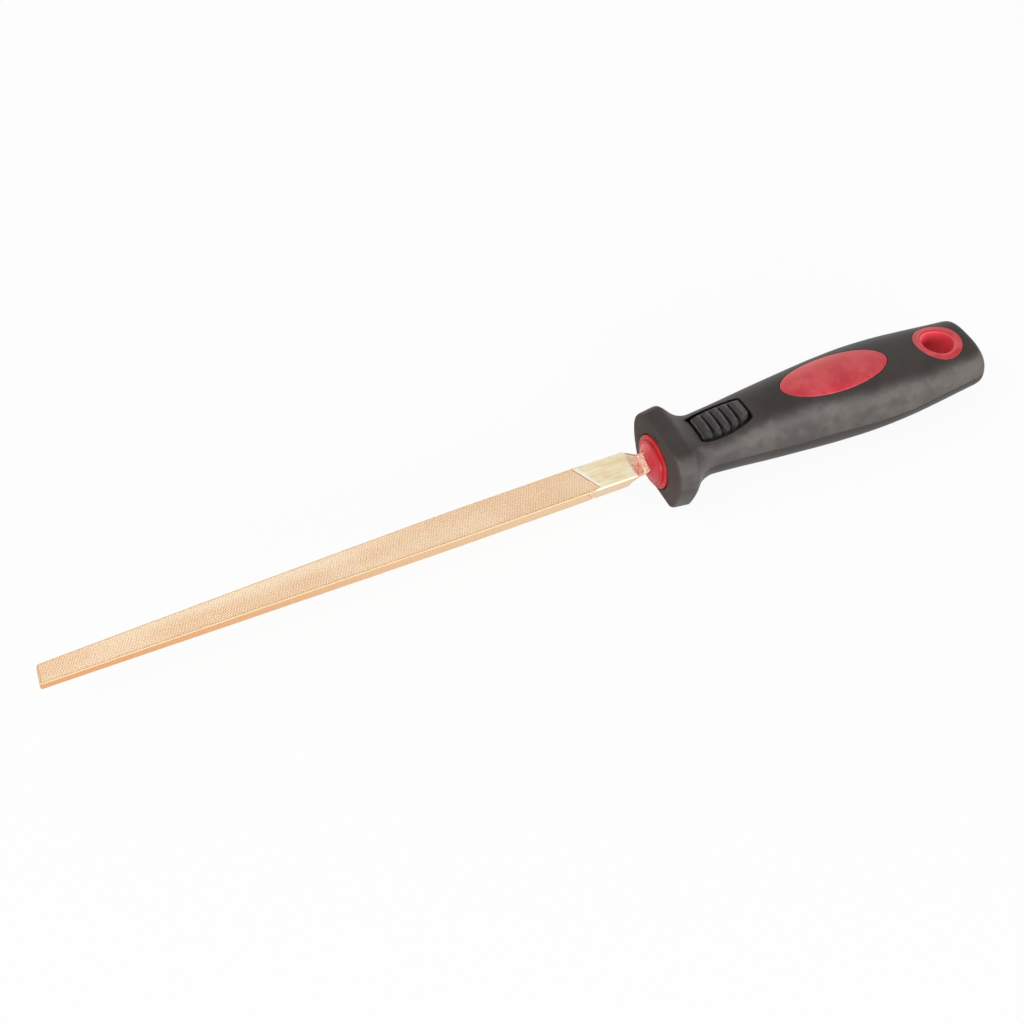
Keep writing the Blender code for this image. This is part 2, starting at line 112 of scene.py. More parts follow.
# Place and size of each lamp in metres, half the floor's width, and the floor's colour
LAMPS = {
    "key_lamp": ((0.20, -1.18, 0.30), (1.6, 0.45)),
    "rim_lamp": ((0.10, 1.20, 0.45), (1.4, 0.5)),
    "fill_lamp": ((-0.85, 0.00, 1.00), (1.0, 1.0)),
}
FLOOR_REACH = 3.0
PAPER = (0.80, 0.80, 0.80)


def length(name, millimetres, description):
    """A length property in metres; its default is given in millimetres."""
    return FloatProperty(name=name, description=description, default=millimetres * MM,
                         min=0.0, subtype="DISTANCE", unit="LENGTH", precision=5)


def share(name, default, description):
    """A plain number property."""
    return FloatProperty(name=name, description=description, default=default, precision=3)


def turn(name, degrees, description):
    """An angle property; its default is given in degrees."""
    return FloatProperty(name=name, description=description, default=math.radians(degrees),
                         subtype="ANGLE", unit="ROTATION")


def colour(name, default, description):
    """A colour property in scene-linear values."""
    return FloatVectorProperty(name=name, description=description, default=default, size=3,
                               min=0.0, max=1.0, subtype="COLOR")


class FileBladeSettings(PropertyGroup):
    """Sizes and colours of the blade and its teeth."""
    cut_length: length("Blade length", 200.0, "From the tip to the shoulder")
    heel_width: length("Heel width", 13.1, "Face width of the parallel part")
    tip_width: length("Tip width", 8.5, "Face width at the tip")
    taper_length: length("Taper length", 140.0, "How far back the taper runs")
    taper_power: share("Taper power", 1.2, "How the taper quickens towards the tip")
    drop: length("Blade drop", 1.1, "How far the blade's centre lies below the handle's")
    edge_radius: length("Edge radius", 0.34, "Rounding of the three long edges")
    heel_edge_radius: length("Heel edge radius", 0.48, "Rounding beside the panel")
    tip_edge_radius: length("Tip edge radius", 0.80, "Rounding of the tip's corners")
    tip_chamfer: length("Tip chamfer", 0.6, "Rounding round the tip's end")
    tip_lean: share("Tip lean", 0.12, "Slope of the tip's end, whose bottom leads")
    lean_length: length("Lean length", 12.0, "How far back the lean and the skew reach")
    tip_skew: share("Tip skew", 0.07, "Slope of the tip's end across the blade")
    land: length("Land", 0.12, "Plain strip between each long edge and the teeth")
    slab_depth: length("Slab depth", 0.7, "How deep each face's slab is let in")
    trough_depth: length("Trough depth", 0.45, "Depth of the body's trough for a slab")
    panel_length: length("Panel length", 15.6, "Plain panel in front of the shoulder")
    shoulder: length("Shoulder length", 4.0, "From the blade's full section to the tang")
    neck_width: length("Neck width", 6.9, "Wide side of the tang's neck")
    neck_height: length("Neck height", 4.3, "Narrow side of the tang's neck")
    neck_tilt: turn("Neck tilt", 27.0, "Turn of the neck about the blade's line")
    neck_side: length("Neck offset", 0.83, "How far the neck lies to the far side")
    neck_lift: length("Neck lift", 0.30, "How far the neck lies over the blade's centre")
    tang_width: length("Tang width", 5.0, "Width of the tang where it enters the core")
    tang_height: length("Tang height", 5.8, "Height of the tang where it enters the core")
    tail_width: length("Tail width", 2.2, "Width of the tang's end")
    tail_height: length("Tail height", 2.8, "Height of the tang's end")
    first_pitch: length("First cut pitch", 0.66, "Spacing of the deep teeth")
    first_angle: turn("First cut angle", 113.7, "Direction of the deep teeth from +X")
    first_depth: length("First cut depth", 0.18, "Depth of the deep teeth")
    second_pitch: length("Second cut pitch", 0.83, "Spacing of the crossing cut")
    second_angle: turn("Second cut angle", 63.0, "Direction of the crossing cut from +X")
    second_depth: length("Second cut depth", 0.12, "Depth of the crossing cut")
    side_depth: share("Side depth", 0.45, "Share of the depth on the two lower faces")
    ramp_far: length("Ramp, far side", 2.2, "Width of the teeth's run-out, far edge")
    ramp_near: length("Ramp, near side", 0.8, "Width of the teeth's run-out, near edge")
    ramp_depth: length("Ramp depth", 0.22, "Depth at the run-out's start")
    crest: colour("Crest colour", (0.96, 0.78, 0.57), "Alloy on the crests of the teeth")
    # Valley colour: painted shade in the teeth's valleys and in the line at the foot of a panel's
    # ramp
    valley: colour("Valley colour", (0.76, 0.44, 0.22), "Alloy in the valleys of the teeth")
    # Cream colour: random pale drifts on the teeth, and a painted highlight on the far half of
    # the top face
    cream: colour("Cream colour", (0.97, 0.83, 0.62), "Pale drifts on the teeth")
    # Under colours: painted shade on the faces that look down
    under: colour("Under colour", (0.60, 0.41, 0.22), "Lower faces at the heel")
    under_tip: colour("Under tip colour", (0.60, 0.24, 0.045), "Lower faces at the tip")
    # Edge colour: painted shade that dims the highlight on the long edges beside the teeth
    edge: colour("Edge colour", (0.74, 0.50, 0.29), "Long edges beside the teeth")
    plain: colour("Plain colour", (1.0, 0.93, 0.67), "Smooth alloy")
    # Painted highlight along a panel's ramp
    bright: colour("Bright colour", (1.0, 0.97, 0.88), "Fresh cut of the panel's ramp")
    # A dark line along the shoulder's far edge
    scorch: colour("Scorch colour", (0.34, 0.07, 0.05), "Dark line on the shoulder's far edge")
    streak: colour("Streak colour", (0.92, 0.70, 0.41), "Streaks in the smooth alloy")
    rough: colour("Rough colour", (0.78, 0.29, 0.17), "Forged skin of the shoulder")
    tan: colour("Tan colour", (0.80, 0.45, 0.32), "Forged skin of the neck")
    scale: colour("Scale colour", (0.98, 0.86, 0.72), "Pale stipple of the forged skin")


class FileGripSettings(PropertyGroup):
    """Sizes and colours of the soft grip."""
    belly_width: length("Belly width", 29.5, "Widest width of the grip")
    belly_height: length("Belly height", 24.8, "Greatest height of the grip")
    profile_blur: length("Profile blur", 2.5, "Smoothing of the profile along the handle")
    neck_exponent: share("Neck exponent", 2.45, "Squareness of the neck's section")
    belly_exponent: share("Belly exponent", 2.75, "Squareness of the belly's section")
    end_exponent: share("End exponent", 2.6, "Squareness of the end's section")
    cap_length: length("End length", 8.1, "Length of the rounded end")
    cap_exponent: share("End exponent along", 3.85, "Squareness of the rounded end")
    end_flat: share("End flat", 0.536, "Share of the section that the flat end keeps")
    end_bulge: length("End bulge", 0.25, "Bulge of the flat end")
    end_lean: share("End lean", 0.20, "Slope of the end, whose top leans back")
    guard_thickness: length("Guard thickness", 7.9, "Along the handle")
    guard_forward: length("Guard forward", 0.8, "Front face's lead over the solid's")
    guard_dome: length("Guard dome", 0.5, "Rise of the front face towards the disc")
    guard_width: length("Guard width", 34.7, "Across the handle")
    guard_top: length("Guard top", 11.85, "Height of the top flat over the axis")
    guard_top_width: length("Guard top width", 23.7, "Width of the top flat")
    guard_high_corner: length("High corner", 6.2, "Side corner's height over the axis")
    guard_low_corner: length("Low corner", 2.25, "Side corner's depth under the axis")
    guard_foot_width: length("Guard foot width", 24.4, "Width of the foot")
    guard_power: share("Guard corner power", 17.0, "Sharpness of the polygon's corners")
    guard_front_edge: length("Guard front radius", 1.9, "Rounding of the front rim")
    guard_edge: length("Guard back edge", 2.3, "Where the back rim starts to turn")
    guard_flare: length("Guard flare", 0.55, "How much the back rim stands out")
    flare_share: share("Flare share", 0.6, "Share of the flare by which the front stands in")
    neck_fillet: length("Neck fillet", 9.0, "Hollow behind the guard")
    seat_depth: length("Collar seat depth", 1.8, "Recess of the front disc")
    seat_lip: length("Collar seat lip", 0.3, "Rounding round the front disc's recess")
    seat_gap: length("Collar seat gap", 0.1, "Play round the front disc's solid")
    parting_depth: length("Parting line depth", 0.26, "Groove of the mould's parting")
    parting_width: length("Parting line width", 0.17, "Half width of the mould's groove")
    parting_step: length("Parting step", 0.3, "Height of the slight step under the groove")
    parting_drop: length("Parting line drop", 2.3, "Depth under the axis at the belly")
    skin: colour("Grip colour", (0.027, 0.021, 0.019), "Dark rubber")
    # Bloom colour: dust on the rubber, and painted light on the flanks
    bloom: colour("Bloom colour", (0.104, 0.092, 0.083), "Dusty bloom on the flanks")
    tint: colour("Brown tint", (0.050, 0.036, 0.032), "Warm patches on the guard")
    face: colour("Face colour", (0.062, 0.046, 0.041), "Matt rubber of the guard's front")
    # Pocket colour: painted shade, near black, in the pad's pocket
    hollow: colour("Pocket colour", (0.003, 0.003, 0.003), "Walls of the pad's pocket")
    # Shaded colour: painted shade under the parting line; it also marks the guard's dark stains
    # and the parting line
    shade: colour("Shaded colour", (0.012, 0.008, 0.005), "Cleaner rubber on the under side")


class FileFittingSettings(PropertyGroup):
    """Sizes and colours of the collar, pad, badge and eyelet."""
    collar_lead: length("Collar lead", 0.45, "Disc's face in front of its solid")
    collar_sag: length("Collar sag", 0.25, "Disc's centre under its solid's")
    collar_edge: length("Collar edge", 0.6, "Rounding of the disc's rim")
    collar_depth: length("Collar depth", 3.4, "From the solid's face to the disc's back")
    collar_trim: length("Collar trim", 0.15, "How much smaller than its solid the disc is")
    collar_step_radius: length("Step radius", 7.95, "Foot of the disc's step")
    collar_step: length("Step height", 0.85, "Rise of the step over the flat ring")
    collar_dome_radius: length("Dome radius", 7.0, "Radius of the domed middle")
    collar_dome: length("Dome height", 2.7, "Rise of the domed middle over the ring")
    fine_line: length("Fine line", 0.17, "Size of the fine grooves and beads")
    slot_gap: length("Slot gap", 0.35, "Play between the tang and its slot")
    pocket_front: length("Pocket front", 2.4, "Gap in front of the pad")
    pocket_back: length("Pocket back", 0.2, "Pocket's end behind the pad's solid")
    pocket_half: length("Pocket half width", 7.25, "Greatest half width of the pocket")
    pocket_depth: length("Pocket depth", 2.6, "Depth of the pocket's floor")
    pocket_lip: length("Pocket lip depth", 0.2, "Depth where the floor's ramp begins")
    pocket_drop: length("Pocket drop", 0.2, "Length of the floor's drop before the pad")
    pad_gap: length("Pad gap", 0.9, "Gap round the pad's sides")
    pad_back_gap: length("Pad back gap", 0.7, "Gap behind the pad")
    pad_shift: length("Pad shift", 0.2, "How far the pad lies to the near side")
    pad_sink: length("Pad sink", 0.32, "Pad's crests under the grip's crown")
    first_groove: length("First groove", 4.3, "From the pad's front to its first groove")
    rib_pitch: length("Rib pitch", 3.3, "From groove to groove")
    grooves: IntProperty(name="Grooves", description="Grooves across the pad", default=4,
                         min=1)
    groove_width: length("Groove width", 0.8, "Width of each groove")
    groove_depth: length("Groove depth", 1.5, "Depth of each groove")
    rib_end_drop: length("Rib end drop", 2.0, "Fall of the ribs at their near ends")
    badge_half_length: length("Badge half length", 20.75, "Half of the long axis")
    badge_half_width: length("Badge half width", 8.65, "Half of the short axis")
    badge_gap: length("Badge gap", 0.2, "Dark line round the badge")
    badge_edge: length("Badge edge", 0.3, "Rounding of the badge's rim")
    badge_rise: length("Badge rise", 0.04, "Badge's face over the grip's crown")
    badge_depth: length("Badge depth", 2.0, "Depth of the badge's wall")
    eyelet_radius: length("Eyelet radius", 8.74, "Outer radius of the ring")
    eyelet_edge: length("Eyelet edge", 0.2, "Rounding of the ring's outer edge")
    eyelet_rise: length("Eyelet rise", 0.03, "Ring's face over the grip's crown")
    eyelet_gap: length("Eyelet gap", 0.12, "Dark line round the ring")
    eyelet_bore: length("Eyelet bore radius", 5.75, "Radius of the hanging hole")
    bore_draft: length("Bore draft", 0.15, "How much the hole narrows by its middle")
    eyelet_lip: length("Eyelet lip radius", 0.8, "Rounding of the hole's mouth")
    eyelet_dish: length("Eyelet dish", 0.25, "Drop of the ring towards its hole")
    red: colour("Red", (0.48, 0.029, 0.043), "Red plastic")
    red_worn: colour("Worn red", (0.67, 0.095, 0.107), "Rubbed red plastic")
    # Painted sheen on the faces that look to the far side
    red_pale: colour("Pale red", (0.73, 0.125, 0.118), "Bleached red on the far side")
    # Painted shade: deeper red on the front disc's outer ring
    red_deep: colour("Deep red", (0.46, 0.006, 0.010), "Red of the front disc's ring")
    # Painted light on the hanging hole's wall
    red_bore: colour("Bore red", (0.69, 0.058, 0.080), "Wall of the hanging hole")
    # Painted light, paler still, on the hole's wall on the guard's side
    red_wall: colour("Bore side red", (0.95, 0.13, 0.17), "Hole's wall on the guard's side")
    pad_skin: colour("Pad colour", (0.026, 0.022, 0.020), "Rubber of the pad's ribs")
    # Painted highlight along the crests of the ribs
    pad_worn: colour("Worn pad colour", (0.092, 0.086, 0.091), "Rubbed crests of the ribs")
    # Painted shade in the pad's grooves
    pad_deep: colour("Pad groove colour", (0.007, 0.006, 0.005), "Rubber in the grooves")


class FileStageSettings(PropertyGroup):
    """Camera, lamps and floor."""
    lens: share("Focal length", 58.624, "Focal length in millimetres on a 36 mm sensor")
    camera_x: share("Camera X", -0.15864, "Camera's place along the tool, in metres")
    camera_y: share("Camera Y", -0.33867, "Camera's place across the tool, in metres")
    camera_z: share("Camera Z", 0.41438, "Camera's height over the floor, in metres")
    heading: turn("Heading", 66.5287, "Direction of view in the floor's plane, from +X")
    dip: turn("Dip", 47.4175, "How far the view points down")
    roll: turn("Roll", -1.7155, "Turn about the line of view")
    key_power: share("Key lamp", 14.5, "Power of the low front lamp, in watts")
    fill_power: share("Fill lamp", 6.8, "Power of the overhead lamp, in watts")
    rim_power: share("Rim lamp", 1.5, "Power of the low lamp behind, in watts")
    sky_level: share("Sky level", 0.44, "Strength of the surroundings overhead")
    overhead: share("Overhead", 0.85, "Height in the sky, 0 to 1, where it is dimmest")
    horizon_level: share("Horizon level", 0.92, "Strength of the surroundings at the horizon")
    floor_cover: share("Floor cover", 0.93, "Share of the floor that shows plain white")
    show_floor: BoolProperty(name="Floor", description="Make the floor", default=True)


class Wire:
    """A shader socket in Python sums: an expression on values adds its Math nodes."""

    def __init__(self, nodes, socket):
        self.nodes = nodes
        self.socket = socket

    def math(self, operation, first, second):
        """One Math node on two values."""
        return self.nodes.node("ShaderNodeMath", {"operation": operation},
                               {0: first, 1: second})

    def __add__(self, other):
        return self.math("ADD", self, other)

    __radd__ = __add__

    def __sub__(self, other):
        return self.math("SUBTRACT", self, other)

    def __rsub__(self, other):
        return self.math("SUBTRACT", other, self)

    def __mul__(self, other):
        return self.math("MULTIPLY", self, other)

    __rmul__ = __mul__

    def __pow__(self, other):
        return self.math("POWER", self, other)


class Nodes:
    """A node tree, filled by calls and by sums of wires."""

    def __init__(self, tree):
        self.tree = tree
        self.place = self.node("ShaderNodeTexCoord", output="Object")

    def node(self, kind, settings=None, inputs=None, output=0):
        """Add a node: its settings first, then its sockets' values or links."""
        node = self.tree.nodes.new(kind)
        for name, value in (settings or {}).items():
            setattr(node, name, value)
        for key, value in (inputs or {}).items():
            self.connect(node.inputs[key], value)
        return Wire(self, node.outputs[output])

    def connect(self, socket, value):
        """Link a wire to a socket, or set the socket's own value."""
        if isinstance(value, Wire):
            self.tree.links.new(value.socket, socket)
        elif socket.type == "RGBA" and len(value) == 3:
            socket.default_value = (*value, 1.0)
        else:
            socket.default_value = value

    def axis(self, name):
        """One axis of the Object coordinates."""
        return self.node("ShaderNodeSeparateXYZ", inputs={0: self.place}, output=name)


class Paint(Nodes):
    """One material and the nodes that make it up."""

    def __init__(self, name):
        self.material = bpy.data.materials.new(name)
        self.material.use_nodes = True
        super().__init__(self.material.node_tree)
        self.shader = self.tree.nodes["Principled BSDF"]

    def set(self, **values):
        """Feed the Principled shader; names are its sockets', with _ for a space."""
        for name, value in values.items():
            self.connect(self.shader.inputs[name.replace("_", " ")], value)

    def noise(self, scale, detail=2.0, roughness=0.5, stretch=None):
        """Noise on Object coordinates; scale is in features per metre."""
        place = self.place
        if stretch is not None:
            place = self.node("ShaderNodeMapping", inputs={"Vector": place, "Scale": stretch})
        return self.node("ShaderNodeTexNoise", inputs={
            "Vector": place, "Scale": scale, "Detail": detail, "Roughness": roughness})

    def cells(self, scale):
        """Distance to the nearest seed of a cell pattern on Object coordinates."""
        return self.node("ShaderNodeTexVoronoi", inputs={"Vector": self.place, "Scale": scale})

    def ease(self, value, low, high):
        """0 below low, 1 above high and a smooth rise between them."""
        return self.node("ShaderNodeMapRange", {"interpolation_type": "SMOOTHSTEP"}, {
            "Value": value, "From Min": low, "From Max": high})

    def mix(self, factor, first, second):
        """Colour mix: the first colour at factor 0 and the second at 1."""
        return self.node("ShaderNodeMix", {"data_type": "RGBA"},
                         {0: factor, 6: first, 7: second}, output=2)

    def normal(self, name):
        """One axis of the surface's own normal."""
        across = self.node("ShaderNodeNewGeometry", output="Normal")
        return self.node("ShaderNodeSeparateXYZ", inputs={0: across}, output=name)

    def attribute(self, name):
        """A value stored on the mesh."""
        return self.node("ShaderNodeAttribute", {"attribute_name": name}, output="Fac")

    def bump(self, height, distance, strength):
        """Feed the shader's normal from a height in shares of a distance."""
        out = self.node("ShaderNodeBump", inputs={
            "Strength": strength, "Distance": distance, "Height": height})
        self.set(Normal=out)


def smooth_step(value, low, high):
    """0 at low, 1 at high, along 3u^2 - 2u^3 between them."""
    u = np.clip((value - low) / (high - low), 0.0, 1.0)
    return u * u * (3 - 2 * u)


def quarter_turn(count):
    """Angles from 0 to a right angle, both ends included."""
    return np.linspace(0, math.pi / 2, count)


def full_turn(count):
    """Angles once round, from 0, with the last one short of the first."""
    return np.arange(count) * 2 * math.pi / count


def crowded(start, stop, count, zones):
    """Places from start to stop, denser in zones.

    The density is 1 plus, for each (centre, half width, extra) zone, the extra times a
    bell round the zone. The places split the running total of the density evenly.
    """
    fine = np.linspace(start, stop, 4000)
    density = np.ones_like(fine)
    for centre, half, extra in zones:
        density += extra * np.exp(-np.abs((fine - centre) / half) ** 6)
    total = np.concatenate(([0.0], np.cumsum((density[1:] + density[:-1]) / 2)))
    return np.interp(np.linspace(0.0, total[-1], count), total, fine)


def add_object(name, data):
    """Make an object at the origin from its data and link it into the scene."""
    obj = bpy.data.objects.new(name, data)
    bpy.context.scene.collection.objects.link(obj)
    return obj


def rework(mesh, step=None):
    """Put a mesh through a bmesh step, if one is given, and turn its faces outward."""
    form = bmesh.new()
    form.from_mesh(mesh)
    if step is not None:
        step(form)
    bmesh.ops.recalc_face_normals(form, faces=form.faces)
    form.to_mesh(mesh)
    form.free()


def weld(form):
    """Merge the seam where a grid's last ring repeats its first."""
    bmesh.ops.remove_doubles(form, verts=form.verts, dist=0.001 * MM)


def mesh_places(mesh):
    """The mesh's points as an array (point, xyz)."""
    places = np.empty(len(mesh.vertices) * 3)
    mesh.vertices.foreach_get("co", places)
    return places.reshape(-1, 3)


def store_values(mesh, label, values):
    """Store one number for each of the mesh's points, for its material to read."""
    store = mesh.attributes.new(label, "FLOAT", "POINT")
    store.data.foreach_set("value", values.astype(np.float32))


def grid_piece(name, points, start="pole", end="pole", values=None):
    """Smooth-shaded mesh object from a grid of points (ring, point, xyz).

    Each ring is closed. A pole closes an end with a fan to the ring's mean point, a face
    closes it with one polygon, and open leaves it. Values is an optional (attribute name,
    grid) pair.
    """
    rings, columns = points.shape[:2]
    places = points.reshape(-1, 3)
    index = np.arange(rings * columns).reshape(rings, columns)
    onward = np.roll(index, -1, axis=1)
    quads = np.stack((index[:-1], onward[:-1], onward[1:], index[1:]), axis=-1)
    faces = quads.reshape(-1, 4).tolist()
    poles = []
    for style, row, flip in ((start, 0, True), (end, rings - 1, False)):
        if style == "pole":
            centre = np.full(columns, len(places) + len(poles))
            poles.append(points[row].mean(axis=0))
            fan = np.column_stack((index[row], onward[row], centre))
            faces += (fan[:, ::-1] if flip else fan).tolist()
        elif style == "face":
            faces.append((index[row][::-1] if flip else index[row]).tolist())
    if poles:
        places = np.vstack((places, poles))
    mesh = bpy.data.meshes.new(name)
    mesh.from_pydata(places.tolist(), [], faces)
    mesh.validate()
    if values is not None:
        label, grid = values
        store_values(mesh, label, np.concatenate((grid.ravel(), np.zeros(len(poles)))))
    rework(mesh)
    mesh.shade_smooth()
    mesh.set_sharp_from_angle(angle=SHARP_ANGLE)
    return add_object(name, mesh)


def wear(obj, paint):
    """Give an object one material."""
    obj.data.materials.clear()
    obj.data.materials.append(paint.material)


def finish_piece(obj, paint, slot, *nodes):
    """Give a piece its material and its body, and hide the CAD nodes that it stands for; the slot
    is not used.
    """
    wear(obj, paint)
    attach(obj, "root")
    if nodes:
        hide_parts(*nodes)


def cut_away(obj, cutters):
    """Cut closed meshes out of a piece and keep the plain result."""
    for cutter in cutters:
        mod = obj.modifiers.new(cutter.name, "BOOLEAN")
        mod.operation = "DIFFERENCE"
        mod.solver = "EXACT"
        mod.object = cutter
    bpy.context.view_layer.update()
    graph = bpy.context.evaluated_depsgraph_get()
    mesh = bpy.data.meshes.new_from_object(obj.evaluated_get(graph))
    obj.modifiers.clear()
    obj.data = mesh
    for cutter in cutters:
        bpy.data.objects.remove(cutter, do_unlink=True)
    mesh.set_sharp_from_angle(angle=CUT_SHARP_ANGLE)


# The grip's shape, which the pad, badge and eyelet follow too

def read_table(table, place):
    """A table of (place, values) rows read at places by smooth cubic pieces.

    Between two rows the curve is the cubic that meets both rows with the slopes that
    their neighbours give.
    """
    rows = np.array(table)
    at, values = rows[:, 0], rows[:, 1:]
    slopes = np.gradient(values, at, axis=0)
    i = np.clip(np.searchsorted(at, place) - 1, 0, len(at) - 2)
    span = (at[i + 1] - at[i])[:, None]
    u = (place[:, None] - at[i][:, None]) / span
    return (values[i] * (1 + 2 * u) * (1 - u) ** 2 + values[i + 1] * u * u * (3 - 2 * u)
            + span * slopes[i] * u * (1 - u) ** 2 + span * slopes[i + 1] * u * u * (u - 1))


def handle_share(x):
    """Place along the handle: 0 at the guard's front and 1 at the handle's end."""
    return (np.asarray(x) - GUARD_X) / (END_X - GUARD_X)


def body_half_sizes(x, grip):
    """Half width and half height of the grip at x.

    The profile's shares are blurred along the handle by a bell, exp(-d^2 / 2s^2), and
    shrink with the rounded end.
    """
    fine = np.linspace(-0.1, 1.1, 1201)
    table = read_table(PROFILE_SHARES, np.clip(fine, 0.0, 1.0))
    blur = grip.profile_blur / (END_X - GUARD_X)
    reach = np.arange(-40, 41) * (fine[1] - fine[0])
    bell = np.exp(-0.5 * (reach / blur) ** 2)
    bell /= bell.sum()
    closing = end_closing(x, grip)
    halves = []
    for column, size in zip(table.T, (grip.belly_width, grip.belly_height)):
        smooth = np.convolve(column, bell, mode="same")
        halves.append(np.interp(handle_share(x), fine, smooth) * size / 2 * closing)
    return halves


def end_closing(x, grip):
    """Share of its section that the rounded end keeps at x: (1 - (1 - f^p) u^p)^(1/p)."""
    u = np.clip((np.asarray(x) - (END_X - grip.cap_length)) / grip.cap_length, 0.0, 1.0)
    p = grip.cap_exponent
    return (1 - (1 - grip.end_flat ** p) * u ** p) ** (1 / p)


def body_exponent(x, grip):
    """The section's exponent at x, straight between the neck's, belly's and end's."""
    exponents = (grip.neck_exponent, grip.belly_exponent, grip.end_exponent)
    return np.interp(handle_share(x), EXPONENT_SHARES, exponents)


def crown_height(x, y, grip):
    """Height over the axis of the grip's top at (x, y): b (1 - |y/a|^n)^(1/n)."""
    half_width, half_height = body_half_sizes(x, grip)
    n = body_exponent(x, grip)
    across = np.clip(np.abs(y) / half_width, 0.0, 0.999)
    return half_height * (1 - across ** n) ** (1 / n)


def body_radius(x, angles, grip):
    """Distance from the axis to the grip's rounded-square section (ring, angle).

    It is (|cos / a|^n + |sin / b|^n)^(-1/n), with the half sizes a and b.
    """
    half_width, half_height = body_half_sizes(x, grip)
    n = body_exponent(x, grip)[:, None]
    across = np.abs(np.cos(angles))[None] / half_width[:, None]
    upward = np.abs(np.sin(angles))[None] / half_height[:, None]
    return (across ** n + upward ** n) ** (-1 / n)


def guard_radius(angles, grip):
    """Distance from the axis to the guard's polygon at each angle.

    It is a high-power mean of the distances to the polygon's sides, which rounds the
    corners. The top and the foot, drawn a little too far out, are then cut flat.
    """
    past = 1.03
    foot = AXIS_Z - GRIP_LOW.z
    right = np.array(((grip.guard_foot_width / 2, -foot * past),
                      (grip.guard_width / 2, -grip.guard_low_corner),
                      (grip.guard_width / 2, grip.guard_high_corner),
                      (grip.guard_top_width / 2, grip.guard_top * past)))
    polygon = np.vstack((right, right[::-1] * (-1, 1)))
    along = np.roll(polygon, -1, axis=0) - polygon
    normals = np.column_stack((along[:, 1], -along[:, 0]))
    normals /= np.linalg.norm(normals, axis=1)[:, None]
    distances = (normals * polygon).sum(axis=1)
    rays = np.column_stack((np.cos(angles), np.sin(angles)))
    nearness = np.maximum(rays @ normals.T, 0.0) / distances
    radius = (nearness ** grip.guard_power).sum(axis=1) ** (-1 / grip.guard_power)
    rise = np.sin(angles)
    limit = np.where(rise > 0, grip.guard_top, foot) / np.maximum(np.abs(rise), 0.01)
    return np.minimum(radius, limit)


def grip_rows(grip):
    """Table of the grip's rings from the collar's seat to the rounded end.

    Behind the guard its polygon gives way to the body's section by a mean of two curves
    1 - (1 - u^2)^p, one quick and one slow.
    Columns: x, radius and weight of the seat's circle, weight and inset of the guard's
    polygon, weight of the body's section, and the share that it keeps.
    """
    seat = (COLLAR_HIGH.y - COLLAR_LOW.y) / 2 + grip.seat_gap
    lip, dome, flare = grip.seat_lip, grip.guard_dome, grip.guard_flare
    radius = grip.guard_front_edge
    front = GUARD_X - grip.guard_forward
    turned_in = GUARD_X + grip.guard_thickness - grip.guard_edge
    neck = neck_start(grip)
    rows = []

    def add(x, circle=0.0, circle_part=0.0, guard_part=0.0, inset=0.0, body_part=0.0, keep=1.0):
        """Add one ring, or a run of rings where a column has several values."""
        values = np.broadcast_arrays(x, circle, circle_part, guard_part, inset, body_part, keep)
        rows.append(np.column_stack([np.atleast_1d(v) for v in values]))

    # The seat's floor, its lip, and the domed front face
    floor_shares = np.array((0.3, 0.65, 1.0))
    add(GUARD_X + grip.seat_depth, seat * floor_shares, 1.0)
    bend = quarter_turn(4)
    add(front - dome + lip * (1 - np.sin(bend)), seat + lip * (1 - np.cos(bend)), 1.0)
    run = np.linspace(0, 1, 13)[1:]
    front_inset = radius + grip.flare_share * flare
    add(front - dome * (1 - run ** 2), seat + lip, 1 - run, run, front_inset)

    # The front rim, the guard's side that flares backward, and the fall to the neck
    bend = quarter_turn(13)[1:]
    add(front + radius * (1 - np.cos(bend)), guard_part=1.0,
        inset=front_inset - radius * np.sin(bend))
    run = np.linspace(0, 1, 9)[1:]
    add(front + radius + (turned_in - front - radius) * run, guard_part=1.0,
        inset=(grip.flare_share - run) * flare)
    run = np.linspace(0, 1, 45)[1:] ** 1.3
    quick, slow = 11, 2.5
    fall = 1 - ((1 - run ** 2) ** quick + (1 - run ** 2) ** slow) / 2
    add(turned_in + (neck - turned_in) * run, guard_part=1 - fall,
        inset=(grip.flare_share - 1) * flare, body_part=fall)

    # The body, the rounded end and its slightly bulging flat
    cap_start = END_X - grip.cap_length
    add(np.linspace(neck, cap_start, 130)[1:], body_part=1.0)
    add(cap_start + grip.cap_length * np.sin(quarter_turn(31)[1:]), body_part=1.0)
    fade = np.linspace(1, 0, 9)[1:-1]
    add(END_X + grip.end_bulge * (1 - fade ** 2), body_part=1.0, keep=fade)
    return np.vstack(rows)


